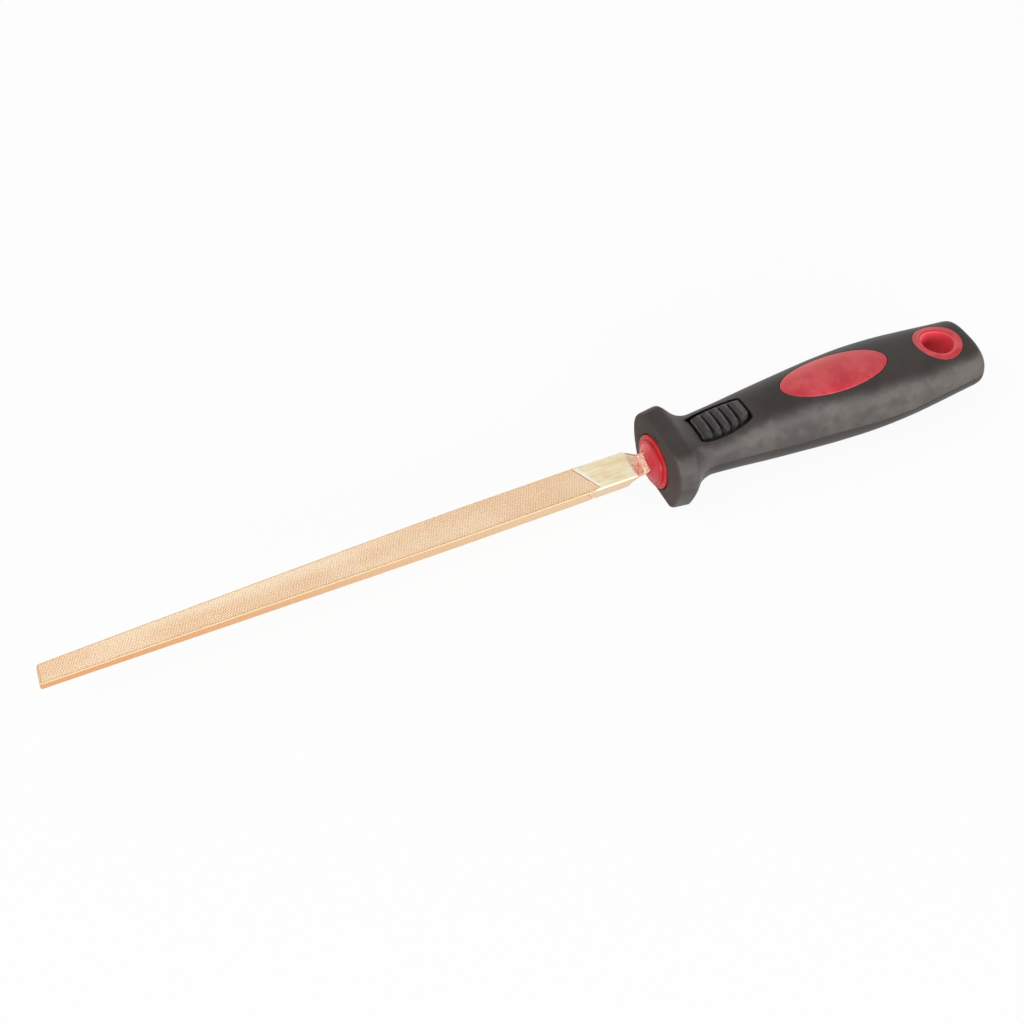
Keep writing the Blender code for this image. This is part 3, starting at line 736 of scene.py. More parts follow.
def grip_points(grip, fit):
    """The grip's skin as a grid (ring, angle, xyz).

    Each ring's distance from the axis is the weighted sum of the seat's circle, the
    guard's polygon and the body's section. The rounded end's top then leans back, more
    and more towards the end. The points crowd over the top and at the parting line.
    """
    low_side, reach = math.radians(5), math.radians(8)
    zones = [(math.pi / 2, math.radians(42), 1.2), (0.0, reach, 6.0),
             (math.pi + low_side, reach, 6.0), (2 * math.pi - low_side, reach, 6.0)]
    angles = crowded(0.0, 2 * math.pi, 301, zones)[:-1]
    x, circle, circle_part, guard_part, inset, body_part, keep = grip_rows(grip).T
    polygon = guard_radius(angles, grip)[None] - inset[:, None]
    radius = (circle_part * circle)[:, None] + guard_part[:, None] * polygon
    radius = radius + (body_part * keep)[:, None] * body_radius(x, angles, grip)
    collar_drop = AXIS_Z - collar_centre(fit)
    y = radius * np.cos(angles)
    z = radius * np.sin(angles) - (circle_part * collar_drop)[:, None]
    z = np.maximum(z, GRIP_LOW.z - AXIS_Z)
    x = np.repeat(x[:, None], len(angles), axis=1)
    y = y - np.sign(y) * parting_line(x, z, grip)
    u = np.clip((x - END_X + grip.cap_length) / grip.cap_length, 0.0, 1.0)
    x = x - grip.end_lean * u ** 2 * (z - z.min(axis=1, keepdims=True)) * (u > 0)
    return np.stack((x, y, z + AXIS_Z), axis=-1)


def neck_start(grip):
    """Where the hollow behind the guard has run out into the body."""
    return GUARD_X + grip.guard_thickness + grip.neck_fillet


def parting_turns(grip):
    """Where the parting line turns: neck, end of its fall, start and end of its climb."""
    neck = neck_start(grip)
    body = END_X - neck
    return neck, *(neck + part * body for part in PARTING_SHARES)


def parting_line(x, z, grip):
    """Depth of the mould's parting line: a fine groove, with a slight step under it.

    The line lies on the widest line at the neck, drops under it along the belly and
    comes half of the way back at the end.
    """
    neck, fallen, climb, climbed = parting_turns(grip)
    line = -grip.parting_drop * (smooth_step(x, neck, fallen)
                                 - 0.5 * smooth_step(x, climb, climbed))
    behind = smooth_step(x, GUARD_X + grip.guard_thickness, neck)
    groove = np.exp(-((z - line) / grip.parting_width) ** 2)
    step = 0.3 * smooth_step(line - z, 0.0, grip.parting_step)
    return grip.parting_depth * (groove + step) * behind


def upright_tube(name, outline, low, high):
    """Closed upright prism over a plan outline, for cutting."""
    rings = [np.column_stack((outline, np.full(len(outline), z))) for z in (low, high)]
    return grid_piece(name, np.array(rings), "face", "face")


def oval(half_x, half_y, count, centre=0.0):
    """Plan outline of an ellipse whose centre lies on the handle's line."""
    angles = full_turn(count)
    return np.column_stack((centre + half_x * np.cos(angles), half_y * np.sin(angles)))


def tube_rings(x, y, z, base):
    """Rings (ring, point, xyz) that run along a top line and back under its two ends.

    Base holds the heights under the line's last point and under its first.
    """
    ends = (-1, 0)
    pairs = ((x, x[:, ends]), (y, y[:, ends]), (z, base))
    return np.stack([np.column_stack(pair) for pair in pairs], axis=-1)


# The thumb pad and its pocket

def pocket_span(fit):
    """Where the thumb pad's pocket starts and ends along the handle."""
    return PAD_LOW.x - fit.pocket_front, PAD_HIGH.x + fit.pocket_back


def barrel(x, start, end, half):
    """Half width in plan of a barrel from start to end.

    The table of shares gives its bulge, and the ends close by (1 - u^12)^(1/12).
    """
    u = np.clip((x - start) / (end - start), 0.0, 1.0)
    power = 12
    closing = (1 - np.abs(2 * u - 1) ** power) ** (1 / power)
    return half * read_table(BARREL_SHARES, u)[:, 0] * closing


def barrel_rows(start, end, count):
    """Places from start to end, crowded where the barrel's corners turn."""
    corner = 1.5 * MM
    near = corner * np.linspace(0.1, 1.0, 12) ** 3
    middle = np.linspace(start + corner, end - corner, count)[1:-1]
    return np.concatenate((start + near, middle, end - near[::-1]))


def pocket_cutter(grip, fit):
    """Closed solid that cuts the pad's pocket, whose floor lies under the crown.

    The floor slopes down gently in front of the pad, drops close before it, then stays
    level.
    """
    start, end = pocket_span(fit)
    rows = barrel_rows(start, end, 60)
    y = barrel(rows, start, end, fit.pocket_half)[:, None] * np.linspace(-1, 1, 41)[None]
    x = np.repeat(rows[:, None], y.shape[1], axis=1)
    brink = PAD_LOW.x - fit.pad_back_gap
    depth = np.interp(x, (start, brink, brink + fit.pocket_drop),
                      (fit.pocket_lip, 3 * fit.pocket_lip, fit.pocket_depth))
    floor = AXIS_Z + crown_height(x, y, grip) - depth
    lid = np.full((len(rows), 2), GRIP_HIGH.z)
    return grid_piece("pocket_cutter", tube_rings(x, y, floor, lid), "face", "face")


def mark_pocket(mesh, grip, fit):
    """Store on the grip's mesh how deep each point lies in the pad's pocket, 0 to 1, for the
    painted shade there.
    """
    x, y, z = mesh_places(mesh).T
    start, end = pocket_span(fit)
    slack = 0.1 * MM
    inside = (x > start - slack) & (x < end + slack) & (z > AXIS_Z)
    inside &= np.abs(y) < fit.pocket_half + slack
    deep = (AXIS_Z + crown_height(x, y, grip) - z) / fit.pocket_depth
    store_values(mesh, "pocket", np.clip(deep, 0.0, 1.0) * inside)


def pad_points(grip, fit):
    """The pad as a tube along the handle (ring, point, xyz), and how high each point is.

    Each ring runs over the ribbed top from side to side and back along the base.
    """
    start, end = PAD_LOW.x, pocket_span(fit)[1] - fit.pad_back_gap
    rows = barrel_rows(start, end, 190)
    half = barrel(rows, start, end, fit.pocket_half - fit.pad_gap)[:, None]
    across = np.sin(np.linspace(-1, 1, 81) * math.pi / 2)
    y = half * across[None]
    x = np.repeat(rows[:, None], len(across), axis=1)
    height, crest = rib_height(x, y, half, start, end, fit)
    y = y - fit.pad_shift
    crown = AXIS_Z + crown_height(x, y, grip)
    base = (crown - fit.pocket_depth)[:, (-1, 0)]
    points = tube_rings(x, y, crown - fit.pad_sink + height, base)
    return points, np.column_stack((crest, np.zeros_like(base)))


def rib_height(x, y, half, start, end, fit):
    """Height of the pad against its crests, and 0 to 1 from the grooves to the crests.

    Each groove falls steeply right behind a crest and rises slowly to the next one. The
    grooves fade out near the far edge, and widen towards the near edge, where the ribs
    fall away.
    """
    side = y / half
    width = fit.groove_width * (1 + 0.9 * smooth_step(-side, -0.4, 0.9))
    cut = np.zeros_like(x)
    for number in range(-1, fit.grooves):
        place = start + fit.first_groove + fit.rib_pitch * number
        past = (x - place) / width
        front = smooth_step(past, -0.5, 0.05)
        slow = 1 - smooth_step(x - place, 0.0, 0.85 * fit.rib_pitch)
        quick = (1 - smooth_step(past, 0.1, 1.0)) * (number >= 0)
        cut = np.maximum(cut, front * (0.50 * quick + 0.50 * slow))
    cut = cut * (1 - smooth_step(side, 0.84, 0.97))
    fall = smooth_step(-side, 0.42, 0.98) ** 1.3
    rim = np.minimum(np.minimum(x - start, end - x), half - np.abs(y))
    edge = 1 - smooth_step(rim, -0.2 * fit.groove_width, 0.5 * fit.groove_width)
    height = (-fit.groove_depth * cut - fit.rib_end_drop * fall
              - 0.5 * fit.groove_width * edge ** 2)
    # The second value drives the pad's painted shade and highlight: low in the grooves, at the
    # rims and on the fallen rib ends
    return height, np.clip(1 - cut - 0.4 * edge - 0.7 * fall, 0, 1)


# The badge, the eyelet and the front disc

def badge_points(grip, fit):
    """The badge as a grid (ring, point, xyz) from its middle out to its wall.

    Its rings are an ellipse times a share, laid on the grip's crown. At the rim they
    turn down through a quarter circle, and then go straight down.
    """
    centre, edge, inner = badge_centre(), fit.badge_edge, 40
    outline = oval(fit.badge_half_length, fit.badge_half_width, 220)
    bend = quarter_turn(7)[1:]
    shares = np.concatenate((np.linspace(0, 1, inner + 1)[1:], np.ones(len(bend) + 2)))
    inset = np.concatenate((np.full(inner, edge), edge * (1 - np.sin(bend)), (0.0, 0.0)))
    drop = np.concatenate((np.zeros(inner), edge * (1 - np.cos(bend)),
                           (fit.badge_depth / 2, fit.badge_depth)))
    unit = outline / np.linalg.norm(outline, axis=1)[:, None]
    plan = outline[None] * shares[:, None, None] - unit[None] * (inset * shares)[:, None, None]
    x, y = plan[..., 0] + centre, plan[..., 1]
    z = AXIS_Z + crown_height(x, y, grip) + fit.badge_rise - drop[:, None]
    return np.stack((x, y, z), axis=-1)


def eyelet_points(grip, fit):
    """The eyelet as a grid (ring, point, xyz) that ends where it starts.

    Each ring is a circle of its own radius, laid on the grip's crown less its own drop.
    From the middle plane they go up the outer wall, round the edge, down the dished band
    with a fine bead near the mouth, round the mouth and down the bore. The lower half
    mirrors the upper one.
    """
    outer, bore, lip = fit.eyelet_radius, fit.eyelet_bore, fit.eyelet_lip
    edge, dish, line = fit.eyelet_edge, fit.eyelet_dish, fit.fine_line
    bend, mouth = quarter_turn(5), quarter_turn(9)[1:]
    band = np.linspace(outer - edge, bore + lip, 22)[1:]
    r = np.concatenate(((outer, outer), outer - edge * (1 - np.cos(bend)), band,
                        bore + lip * (1 - np.sin(mouth)),
                        bore - fit.bore_draft * np.array((2 / 3, 1.0))))
    slope = dish * (outer - edge - band) / (outer - edge - bore - lip)
    slope -= line * np.exp(-((band - bore - lip - 1.6 * line) / (1.6 * line)) ** 2)
    wall_ring, bore_ring = 2.0 * MM, 5.0 * MM
    drop = np.concatenate(((0.0, wall_ring), edge * (1 - np.sin(bend)), slope,
                           dish + lip * (1 - np.cos(mouth)), (bore_ring, 0.0)))
    angles = full_turn(160)
    x = eyelet_centre() + r[:, None] * np.cos(angles)
    y = r[:, None] * np.sin(angles)
    height = crown_height(x, y, grip) + fit.eyelet_rise - drop[:, None]
    height[0], height[-1] = 0.0, 0.0
    upper = np.stack((x, y, AXIS_Z + height), axis=-1)
    lower = np.stack((x, y, AXIS_Z - height), axis=-1)[::-1]
    return np.concatenate((upper, lower[1:]), axis=0)


def badge_centre():
    """Where the badge's middle lies along the handle."""
    return (LABEL_LOW.x + LABEL_HIGH.x) / 2


def eyelet_centre():
    """Where the hanging hole lies along the handle."""
    return (EYELET_LOW.x + EYELET_HIGH.x) / 2


def collar_centre(fit):
    """Height of the front disc's centre."""
    return (COLLAR_LOW.z + COLLAR_HIGH.z) / 2 - fit.collar_sag


def collar_points(blade, fit):
    """The front disc as a grid (ring, point, xyz) that ends where it starts.

    From the back it comes over the rim, across the flat ring, up the step, over a fine
    groove and up the dome, which rises by d (1 - (r / R)^2) while its rings turn into
    the slot.
    """
    centre_z = collar_centre(fit)
    radius = (COLLAR_HIGH.y - COLLAR_LOW.y) / 2 - fit.collar_trim
    face, edge, fine = COLLAR_LOW.x - fit.collar_lead, fit.collar_edge, fit.fine_line
    back = COLLAR_LOW.x + fit.collar_depth
    bend = quarter_turn(7)
    inner = fit.collar_dome_radius
    top = face - fit.collar_step
    step = fit.collar_step_radius - fine * np.array((0.0, 0.6, 1.0, 1.8))
    gap = inner + fine * np.array((1.4, 0.5, 0.0))
    x = np.concatenate(((back,), face + edge * (1 - np.sin(bend)),
                        (face, top + 1.2 * fine, top + 0.3 * fine, top),
                        top + fine * np.array((0.0, 1.2, 1.2))))
    r = np.concatenate(((radius,), radius - edge * (1 - np.cos(bend)), step, gap))
    angles = full_turn(180)
    circle = np.stack((np.cos(angles), np.sin(angles)), axis=-1)
    centre = (0.0, centre_z)
    round_part = r[:, None, None] * circle + centre
    round_x = np.repeat(x[:, None], len(angles), axis=1)

    # The slot's outline: the neck's rectangle with play round it
    tilt = blade.neck_tilt
    half = np.array((blade.neck_width, blade.neck_height)) / 2 + fit.slot_gap
    slot = tang_ring(half[:1], half[1:], (angles - tilt)[None])
    slot = turned(slot, *(np.array((v,)) for v in (tilt, blade.neck_side, blade.neck_lift)))[0]
    slot = slot + (0.0, AXIS_Z - blade.drop)
    share_in = np.linspace(0, 1, 25)[:, None, None]
    domed = (inner * circle + centre)[None] * (1 - share_in) + slot[None] * share_in
    reach = np.hypot(domed[..., 0], domed[..., 1] - centre_z) / inner
    domed_x = top - (fit.collar_dome - fit.collar_step) * (1 - reach ** 2)
    slot_rings = np.array((0.3, 2.0))[:, None] * MM
    wall = np.vstack((domed_x[-1:] + slot_rings, np.full((1, len(angles)), back)))
    yz = np.concatenate((round_part, domed, np.repeat(slot[None], 3, axis=0), round_part[:1]))
    x = np.vstack((round_x, domed_x, wall, round_x[:1]))
    return np.concatenate((x[..., None], yz), axis=-1)


# The blade

def blade_width(x, blade):
    """Face width at x: parallel at the heel, narrowing by a power of the way to the tip."""
    u = np.clip((TIP_X + blade.taper_length - x) / blade.taper_length, 0.0, 1.0)
    return blade.heel_width - (blade.heel_width - blade.tip_width) * u ** blade.taper_power


def face_distance(width):
    """Distance from a triangle's middle to its sides, which are width long."""
    return width / (2 * ROOT_3)


def onto_face(x, across, outward, side, blade):
    """Turn face coordinates (along, across, outward) about the blade's centre line."""
    c, s = math.cos(side * THIRD_TURN), math.sin(side * THIRD_TURN)
    centre = AXIS_Z - blade.drop
    return np.stack((x, across * c - outward * s, across * s + outward * c + centre), axis=-1)


def edge_radius_at(x, blade):
    """Rounding of the long edges at x: fuller at the very tip and beside the panel."""
    heel = TIP_X + blade.cut_length - blade.panel_length
    at = (TIP_X, TIP_X + blade.tip_edge_radius, heel - blade.ramp_near, heel + blade.ramp_far)
    radii = (blade.tip_edge_radius, blade.edge_radius, blade.edge_radius, blade.heel_edge_radius)
    return np.interp(x, at, radii)


def slab_half_width(x, blade):
    """Half width of a face's slab at x, short of the corner by 1.5 edge radii and the land."""
    return blade_width(x, blade) / 2 - 1.5 * edge_radius_at(x, blade) - blade.land


def slanted_grid(lines, across, blade):
    """Places (x, y) where slanted lines cross the lengthwise lines of a tapering face.

    A slanted line runs at the first cut's angle through its own x on the face's middle.
    Its half width is read at its crossing, which three rounds of substitution find.
    """
    slant = 1 / math.tan(blade.first_angle)
    x = np.repeat(lines[:, None], len(across), axis=1)
    for _ in range(3):
        y = across[None] * slab_half_width(x, blade)
        x = lines[:, None] + slant * y
    return x, y


def lean_tip(points, blade):
    """Lean the tip's end: points near it move along X by their height and side."""
    x, y, z = points.T
    top = AXIS_Z - blade.drop + face_distance(blade.tip_width)
    near = 1 - smooth_step(x, TIP_X, TIP_X + blade.lean_length)
    shift = blade.tip_skew * y - blade.tip_lean * (top - z)
    return np.column_stack((x + near * shift, y, z))


def face_slab(name, x, y, rise, side, blade):
    """Closed slab with a height grid on top, let into one face of the blade.

    The slab is a tube along the blade: each ring is one line of the height grid closed
    by two corners at the slab's base.
    """
    base = np.full((len(x), 2), -blade.slab_depth)
    ring_x, ring_y, ring_rise = np.moveaxis(tube_rings(x, y, rise, base), -1, 0)
    level = face_distance(blade_width(ring_x, blade)) + ring_rise
    # The cut depth drives painted shade in the valleys and, on a panel, the ramp's painted
    # highlight and the shade line at its foot
    depth = np.clip(-ring_rise / blade.first_depth, 0.0, 1.0)
    points = onto_face(ring_x, ring_y, level, side, blade)
    return grid_piece(name, points, "face", "face", values=("cut_depth", depth))


def trim_tip(mesh, blade):
    """Cut a slab square just behind the tip's end, close it, and lean it with the tip."""
    start = TIP_X + 0.75 * blade.tip_chamfer

    def cut(form):
        """Take off what lies past the start, and fill the opening."""
        everything = form.verts[:] + form.edges[:] + form.faces[:]
        made = bmesh.ops.bisect_plane(form, geom=everything, plane_co=(start, 0, 0),
                                      plane_no=(-1, 0, 0), clear_outer=True)["geom_cut"]
        rim = [part for part in made if isinstance(part, bmesh.types.BMEdge)]
        bmesh.ops.edgeloop_fill(form, edges=rim)

    rework(mesh, cut)
    mesh.vertices.foreach_set("co", lean_tip(mesh_places(mesh), blade).ravel())
    mesh.update()


def tooth_rise(x, y, stage, blade):
    """Height of the cut face: the lower of two sets of teeth.

    The first set follows the grid's own lines: crest, crest, valley. The second is a row
    of V grooves, from their flat crests down to the groove's middle.
    """
    first = np.array((0.0, 0.0, -1.0))[stage][:, None] * blade.first_depth
    along = blade.second_pitch / math.sin(blade.second_angle)
    phase = (x - y / math.tan(blade.second_angle)) / along
    groove = np.abs(phase - np.round(phase)) * 2
    steepness = 1.6
    second = -blade.second_depth * np.clip(1 - groove * steepness, 0.0, 1.0)
    return np.minimum(first, second)


def teeth(side, blade):
    """Cut face from the plain panel to the tip, one crest and valley after another.

    The rows run on past the tip, where the slab is trimmed.
    """
    step = blade.first_pitch / math.sin(blade.first_angle)
    cut_part = blade.cut_length - blade.panel_length
    overrun = 8 * MM
    count = int((cut_part + overrun) / step)
    starts = TIP_X + cut_part - step * np.arange(count, 0, -1)
    shares = np.array((0.0, 0.16, 0.46))
    lines = (starts[:, None] + shares[None] * step).ravel()
    stage = np.tile(np.arange(3), count)
    x, y = slanted_grid(lines, np.linspace(-1, 1, 61), blade)
    rise = tooth_rise(x, y, stage, blade)
    if side > 0:
        rise = rise * blade.side_depth
    piece = face_slab(f"blade_teeth_{side + 1}", x, y, rise, side, blade)
    trim_tip(piece.data, blade)
    return piece


def heel_panel(side, blade):
    """Plain panel at the heel, with a ramp where the teeth run out.

    The ramp starts along the last tooth, one ramp's depth down, and comes up over a
    width that grows from the near edge to the far one.
    """
    shoulder = TIP_X + blade.cut_length
    across = np.linspace(-1, 1, 25)
    width = np.interp(across, (-1, 1), (blade.ramp_near, blade.ramp_far))
    start, y_start = slanted_grid(np.array((shoulder - blade.panel_length,)), across, blade)
    climb = np.array((0.0, 0.0, 0.5, 0.9, 1.0))[:, None]
    rise = np.array((-1.6, -1.0, -0.5, -0.06, 0.04))
    x_ramp = start + climb * width[None]
    run = np.linspace(0, 1, 15)[1:, None]
    x_flat = x_ramp[-1:] * (1 - run) + (shoulder - PANEL_STOP) * run
    x = np.vstack((x_ramp, x_flat))
    y = across[None] * slab_half_width(x, blade)
    y[:2] = y_start
    level = np.concatenate((rise, np.full(len(run), rise[-1]))) * blade.ramp_depth
    rises = np.repeat(level[:, None], len(across), axis=1)
    return face_slab(f"heel_panel_{side + 1}", x, y, rises, side, blade)


def triangle_ring(apothem, radius, sunk, blade):
    """Rings (ring, point, yz) of a triangle with round edges and sunk faces.

    Each corner is an arc of the radius about a corner of the inner triangle. Between two
    arcs a face runs level for the land, then drops by sunk, and comes back up.
    """
    apothem, radius, sunk = (np.asarray(v)[:, None] for v in (apothem, radius, sunk))
    inner = 2 * (apothem - radius)
    run = ROOT_3 * inner
    wall = blade.land + TROUGH_WALL
    shift = (run * np.array((0, 0, 0.28, 0.5, 0.72, 1, 1))
             + np.array((blade.land, wall, 0, 0, 0, -wall, -blade.land)))
    down = sunk * np.array((0, 1, 1, 1, 1, 1, 0))
    points = []
    for corner in range(3):
        start = math.pi / 2 + THIRD_TURN * corner
        middle, end = start + THIRD_TURN / 2, start + THIRD_TURN
        bend = np.linspace(start, end, 9)[None]
        arc = np.stack((inner * math.cos(middle) + radius * np.cos(bend),
                        inner * math.sin(middle) + radius * np.sin(bend)), axis=-1)
        outward = np.array((math.cos(end), math.sin(end)))
        onward = np.array((-math.sin(end), math.cos(end)))
        points += [arc, arc[:, -1:] + shift[..., None] * onward - down[..., None] * outward]
    return np.concatenate(points, axis=1)


def tang_ring(half_width, half_height, angles):
    """Rings (ring, point, yz) of a rectangle with small round corners, at given angles.

    Its radius is (|cos / a|^n + |sin / b|^n)^(-1/n), with the half sizes a and b.
    """
    n = 14.0
    across = np.abs(np.cos(angles)) / half_width[:, None]
    upward = np.abs(np.sin(angles)) / half_height[:, None]
    radius = (across ** n + upward ** n) ** (-1 / n)
    return np.stack((radius * np.cos(angles), radius * np.sin(angles)), axis=-1)


def turned(ring, tilt, side, lift):
    """Rings (ring, point, yz) turned about the line of the blade and moved sideways."""
    c, s = np.cos(tilt)[:, None], np.sin(tilt)[:, None]
    y, z = ring[..., 0], ring[..., 1]
    return np.stack((y * c - z * s + side[:, None], y * s + z * c + lift[:, None]), axis=-1)


def blade_body_points(blade):
    """The blade's smooth body, shoulder and tang as a grid (ring, point, xyz).

    The rings are the blade's triangle, sunk where a slab is let in. From the shoulder to
    the neck they pass over to the tang's rectangle in step with the way gone.
    """
    shoulder = TIP_X + blade.cut_length
    before_panel = shoulder - blade.panel_length - 2 * MM
    neck = shoulder + blade.shoulder
    chamfer = blade.tip_chamfer
    bend = quarter_turn(7)
    parts = (TIP_X + chamfer * (1 - np.cos(bend)),
             TIP_X + chamfer * np.array((1.25, 1.7, 2.5)),
             np.linspace(TIP_X + 3 * chamfer, before_panel, 50),
             np.linspace(before_panel, shoulder - TROUGH_STOPS[0], 24)[1:],
             (shoulder - TROUGH_STOPS[1], shoulder),
             np.linspace(shoulder, neck, 26)[1:],
             np.linspace(neck, COLLAR_LOW.x, 8)[1:],
             np.linspace(COLLAR_LOW.x, CORE_LOW.x, 10)[1:],
             np.linspace(CORE_LOW.x, BLADE_HIGH.x, 10)[1:])
    x = np.concatenate(parts)
    apothem = face_distance(blade_width(x, blade))
    apothem[:len(bend)] -= chamfer * (1 - np.sin(bend))
    under_slab = (x > TIP_X + 1.1 * chamfer) & (x < shoulder - sum(TROUGH_STOPS) / 2)
    ring = triangle_ring(apothem, edge_radius_at(x, blade),
                         np.where(under_slab, blade.trough_depth, 0.0), blade)

    # The tang's points lie at the angles of the first ring beside the panel
    sample = ring[sum(len(part) for part in parts[:3])]
    angles = np.arctan2(sample[:, 1], sample[:, 0])[None]

    # Width, height, turn, side and lift of the tang: at the neck, the disc, the core, its end
    held = (blade.neck_width, blade.neck_height, blade.neck_tilt, blade.neck_side,
            blade.neck_lift)
    stations = np.array((
        (neck, *held),
        (COLLAR_LOW.x, *held),
        (CORE_LOW.x, blade.tang_width, blade.tang_height, 0.0, 0.0, 0.0),
        (BLADE_HIGH.x, blade.tail_width, blade.tail_height, 0.0, 0.0, blade.drop)))
    width, height, *turn_and_shift = (
        np.interp(x, stations[:, 0], column) for column in stations[:, 1:].T)
    tang = turned(tang_ring(width / 2, height / 2, angles), *turn_and_shift)
    part = np.clip((x - shoulder) / blade.shoulder, 0.0, 1.0)[:, None, None]
    outline = ring * (1 - part) + tang * part
    points = np.concatenate((np.repeat(x[:, None, None], outline.shape[1], axis=1), outline),
                            axis=-1)
    points[..., 2] += AXIS_Z - blade.drop
    return lean_tip(points.reshape(-1, 3), blade).reshape(points.shape)


# The materials

def under_side_shade(paint, blade):
    """Share and colour of the painted shade on the faces that look down, warmer towards the tip.
    """
    share_down = 1 - paint.ease(paint.normal("Z"), -0.30, 0.10)
    along = paint.ease(paint.axis("X"), TIP_X, TIP_X + blade.cut_length)
    return share_down * 0.9, paint.mix(along, blade.under_tip, blade.under)


def alloy_paint(blade):
    """Cut alloy: pale crests, tan valleys painted darker as shade, cream drifts and a warmer
    painted shade on the under side.

    A creamy painted highlight lies on the far half of the top face, off the tip.
    """
    paint = Paint("cut_alloy")
    depth = paint.attribute("cut_depth")
    drift = paint.noise(75.0, 2.0, 0.5, (0.5, 1.0, 1.0))
    patch = paint.noise(260.0, 3.0, 0.6)
    speck = paint.noise(2600.0, 3.0, 0.6)
    # Painted shade: the valleys turn darker with their cut depth, under a random mottle
    valley_shade_and_mottle = paint.ease(depth * 0.85 + speck * 0.25 + patch * 0.25, 0.25, 1.15)
    base = paint.mix(valley_shade_and_mottle, blade.crest, blade.valley)
    rubbed = paint.ease(drift * 0.7 + patch * 0.3, 0.44, 0.60)
    base = paint.mix(rubbed * 0.30, base, blade.cream)
    x, y = paint.axis("X"), paint.axis("Y")
    # Painted highlight: a cream gradient on the far half of the top face
    full, fading, gone = (TIP_X + reach * MM for reach in (45, 80, 145))
    sheen = paint.ease(y, -0.5 * MM, 4.0 * MM) * paint.ease(x, TIP_X, full)
    sheen = sheen * (1 - paint.ease(x, fading, gone))
    base = paint.mix(sheen * 0.5, base, blade.cream)
    # Painted shade on the faces that look down
    down, under = under_side_shade(paint, blade)
    base = paint.mix(down, base, under)
    paint.set(Base_Color=base, Metallic=0.25, Roughness=0.38 + 0.22 * speck)
    paint.bump(speck, 0.03 * MM, 0.6)
    return paint


def plain_alloy_paint(blade, panel=False):
    """Ground alloy, with the stippled skin of the forged shoulder and neck behind it.

    On a panel the ramp carries a painted highlight, with a painted shade line at its foot.
    On the body the long edges beside the teeth are painted darker, as shade that dims their
    highlight. The shoulder's far edge has a dark line, its faces that look to the far side
    take the dark skin colour as painted shade, and its bevel takes on the skin's colours.
    """
    paint = Paint("panel_alloy" if panel else "plain_alloy")
    x, y = paint.axis("X"), paint.axis("Y")
    shoulder = TIP_X + blade.cut_length
    behind = x - shoulder
    grind = paint.noise(900.0, 3.0, 0.6, (0.12, 1.0, 1.0))
    drift = paint.noise(160.0, 2.0)
    pits = paint.cells(1500.0)
    grit = paint.noise(2400.0, 2.0, 0.7)
    streaks = paint.ease(drift * 0.5 + grind * 0.6, 0.42, 0.72)
    smooth = paint.mix(streaks, blade.plain, blade.streak)
    if panel:
        depth = paint.attribute("cut_depth")
        # Painted highlight on the ramp, and painted shade in the line at its foot
        smooth = paint.mix(0.85 * paint.ease(depth, 0.05, 0.45), smooth, blade.bright)
        smooth = paint.mix(paint.ease(depth, 0.88, 1.0), smooth, blade.valley)
    else:
        # Painted shade: the body's long edges beside the teeth turn darker to dim their highlight
        toothed = 1 - paint.ease(x, shoulder - blade.panel_length,
                                 shoulder - 0.9 * blade.panel_length)
        smooth = paint.mix(toothed, smooth, blade.edge)
    # A dark line along the shoulder's far edge
    run = behind * (1 / blade.shoulder)
    brink = blade.heel_width / 2 - 0.5 * (blade.heel_width - blade.neck_width) * run
    line = 1 - paint.ease(brink - y, 0.9 * MM, 1.4 * MM)
    smooth = paint.mix(line * paint.ease(run, 0.15, 0.35), smooth, blade.scorch)
    # Painted shade on the faces that look down
    down, under = under_side_shade(paint, blade)
    smooth = paint.mix(down, smooth, under)
    bevel = paint.ease(behind, 0.2 * MM, 1.2 * MM) * paint.ease(y, -1.5 * MM, 1.0 * MM)
    smooth = paint.mix(bevel * paint.ease(grit * 0.6 + drift * 0.5, 0.42, 0.62) * 0.75,
                       smooth, blade.tan)

    # The skin: pale on the neck and dark on the shoulder, under pale dots
    border = shoulder + blade.shoulder * paint.ease(y, -1.0 * MM, 0.6 * MM)
    skin_part = paint.ease(x - border + drift * 1.2 * MM, 0.4 * MM, 0.9 * MM)
    ramp = 1 - paint.ease(behind - blade.shoulder, -0.5 * MM, 0.6 * MM)
    dots = 1 - paint.ease(pits + grit * 0.25, 0.44, 0.62)
    pale = paint.mix(dots, blade.tan, blade.scale)
    dark = paint.mix(dots * 0.85, blade.rough, blade.scale)
    skin = paint.mix(ramp * paint.ease(grit + drift, 0.75, 1.0) + ramp * 0.45, pale, dark)
    # Painted shade: faces behind the shoulder that look to the far side take the dark skin colour
    far_side_shade = paint.ease(paint.normal("Y"), 0.12, 0.34) * paint.ease(behind, 0.0, MM)
    skin_part = 1 - (1 - skin_part) * (1 - far_side_shade)
    skin = paint.mix(far_side_shade * 0.8, skin, blade.rough)
    base = paint.mix(skin_part, smooth, skin)
    paint.set(Base_Color=base, Metallic=0.30 - 0.20 * skin_part,
              Roughness=0.34 + 0.10 * grind + 0.25 * skin_part)
    paint.bump(grind * 0.12 * (1 - skin_part) + skin_part * dots, 0.10 * MM, 0.7)
    return paint


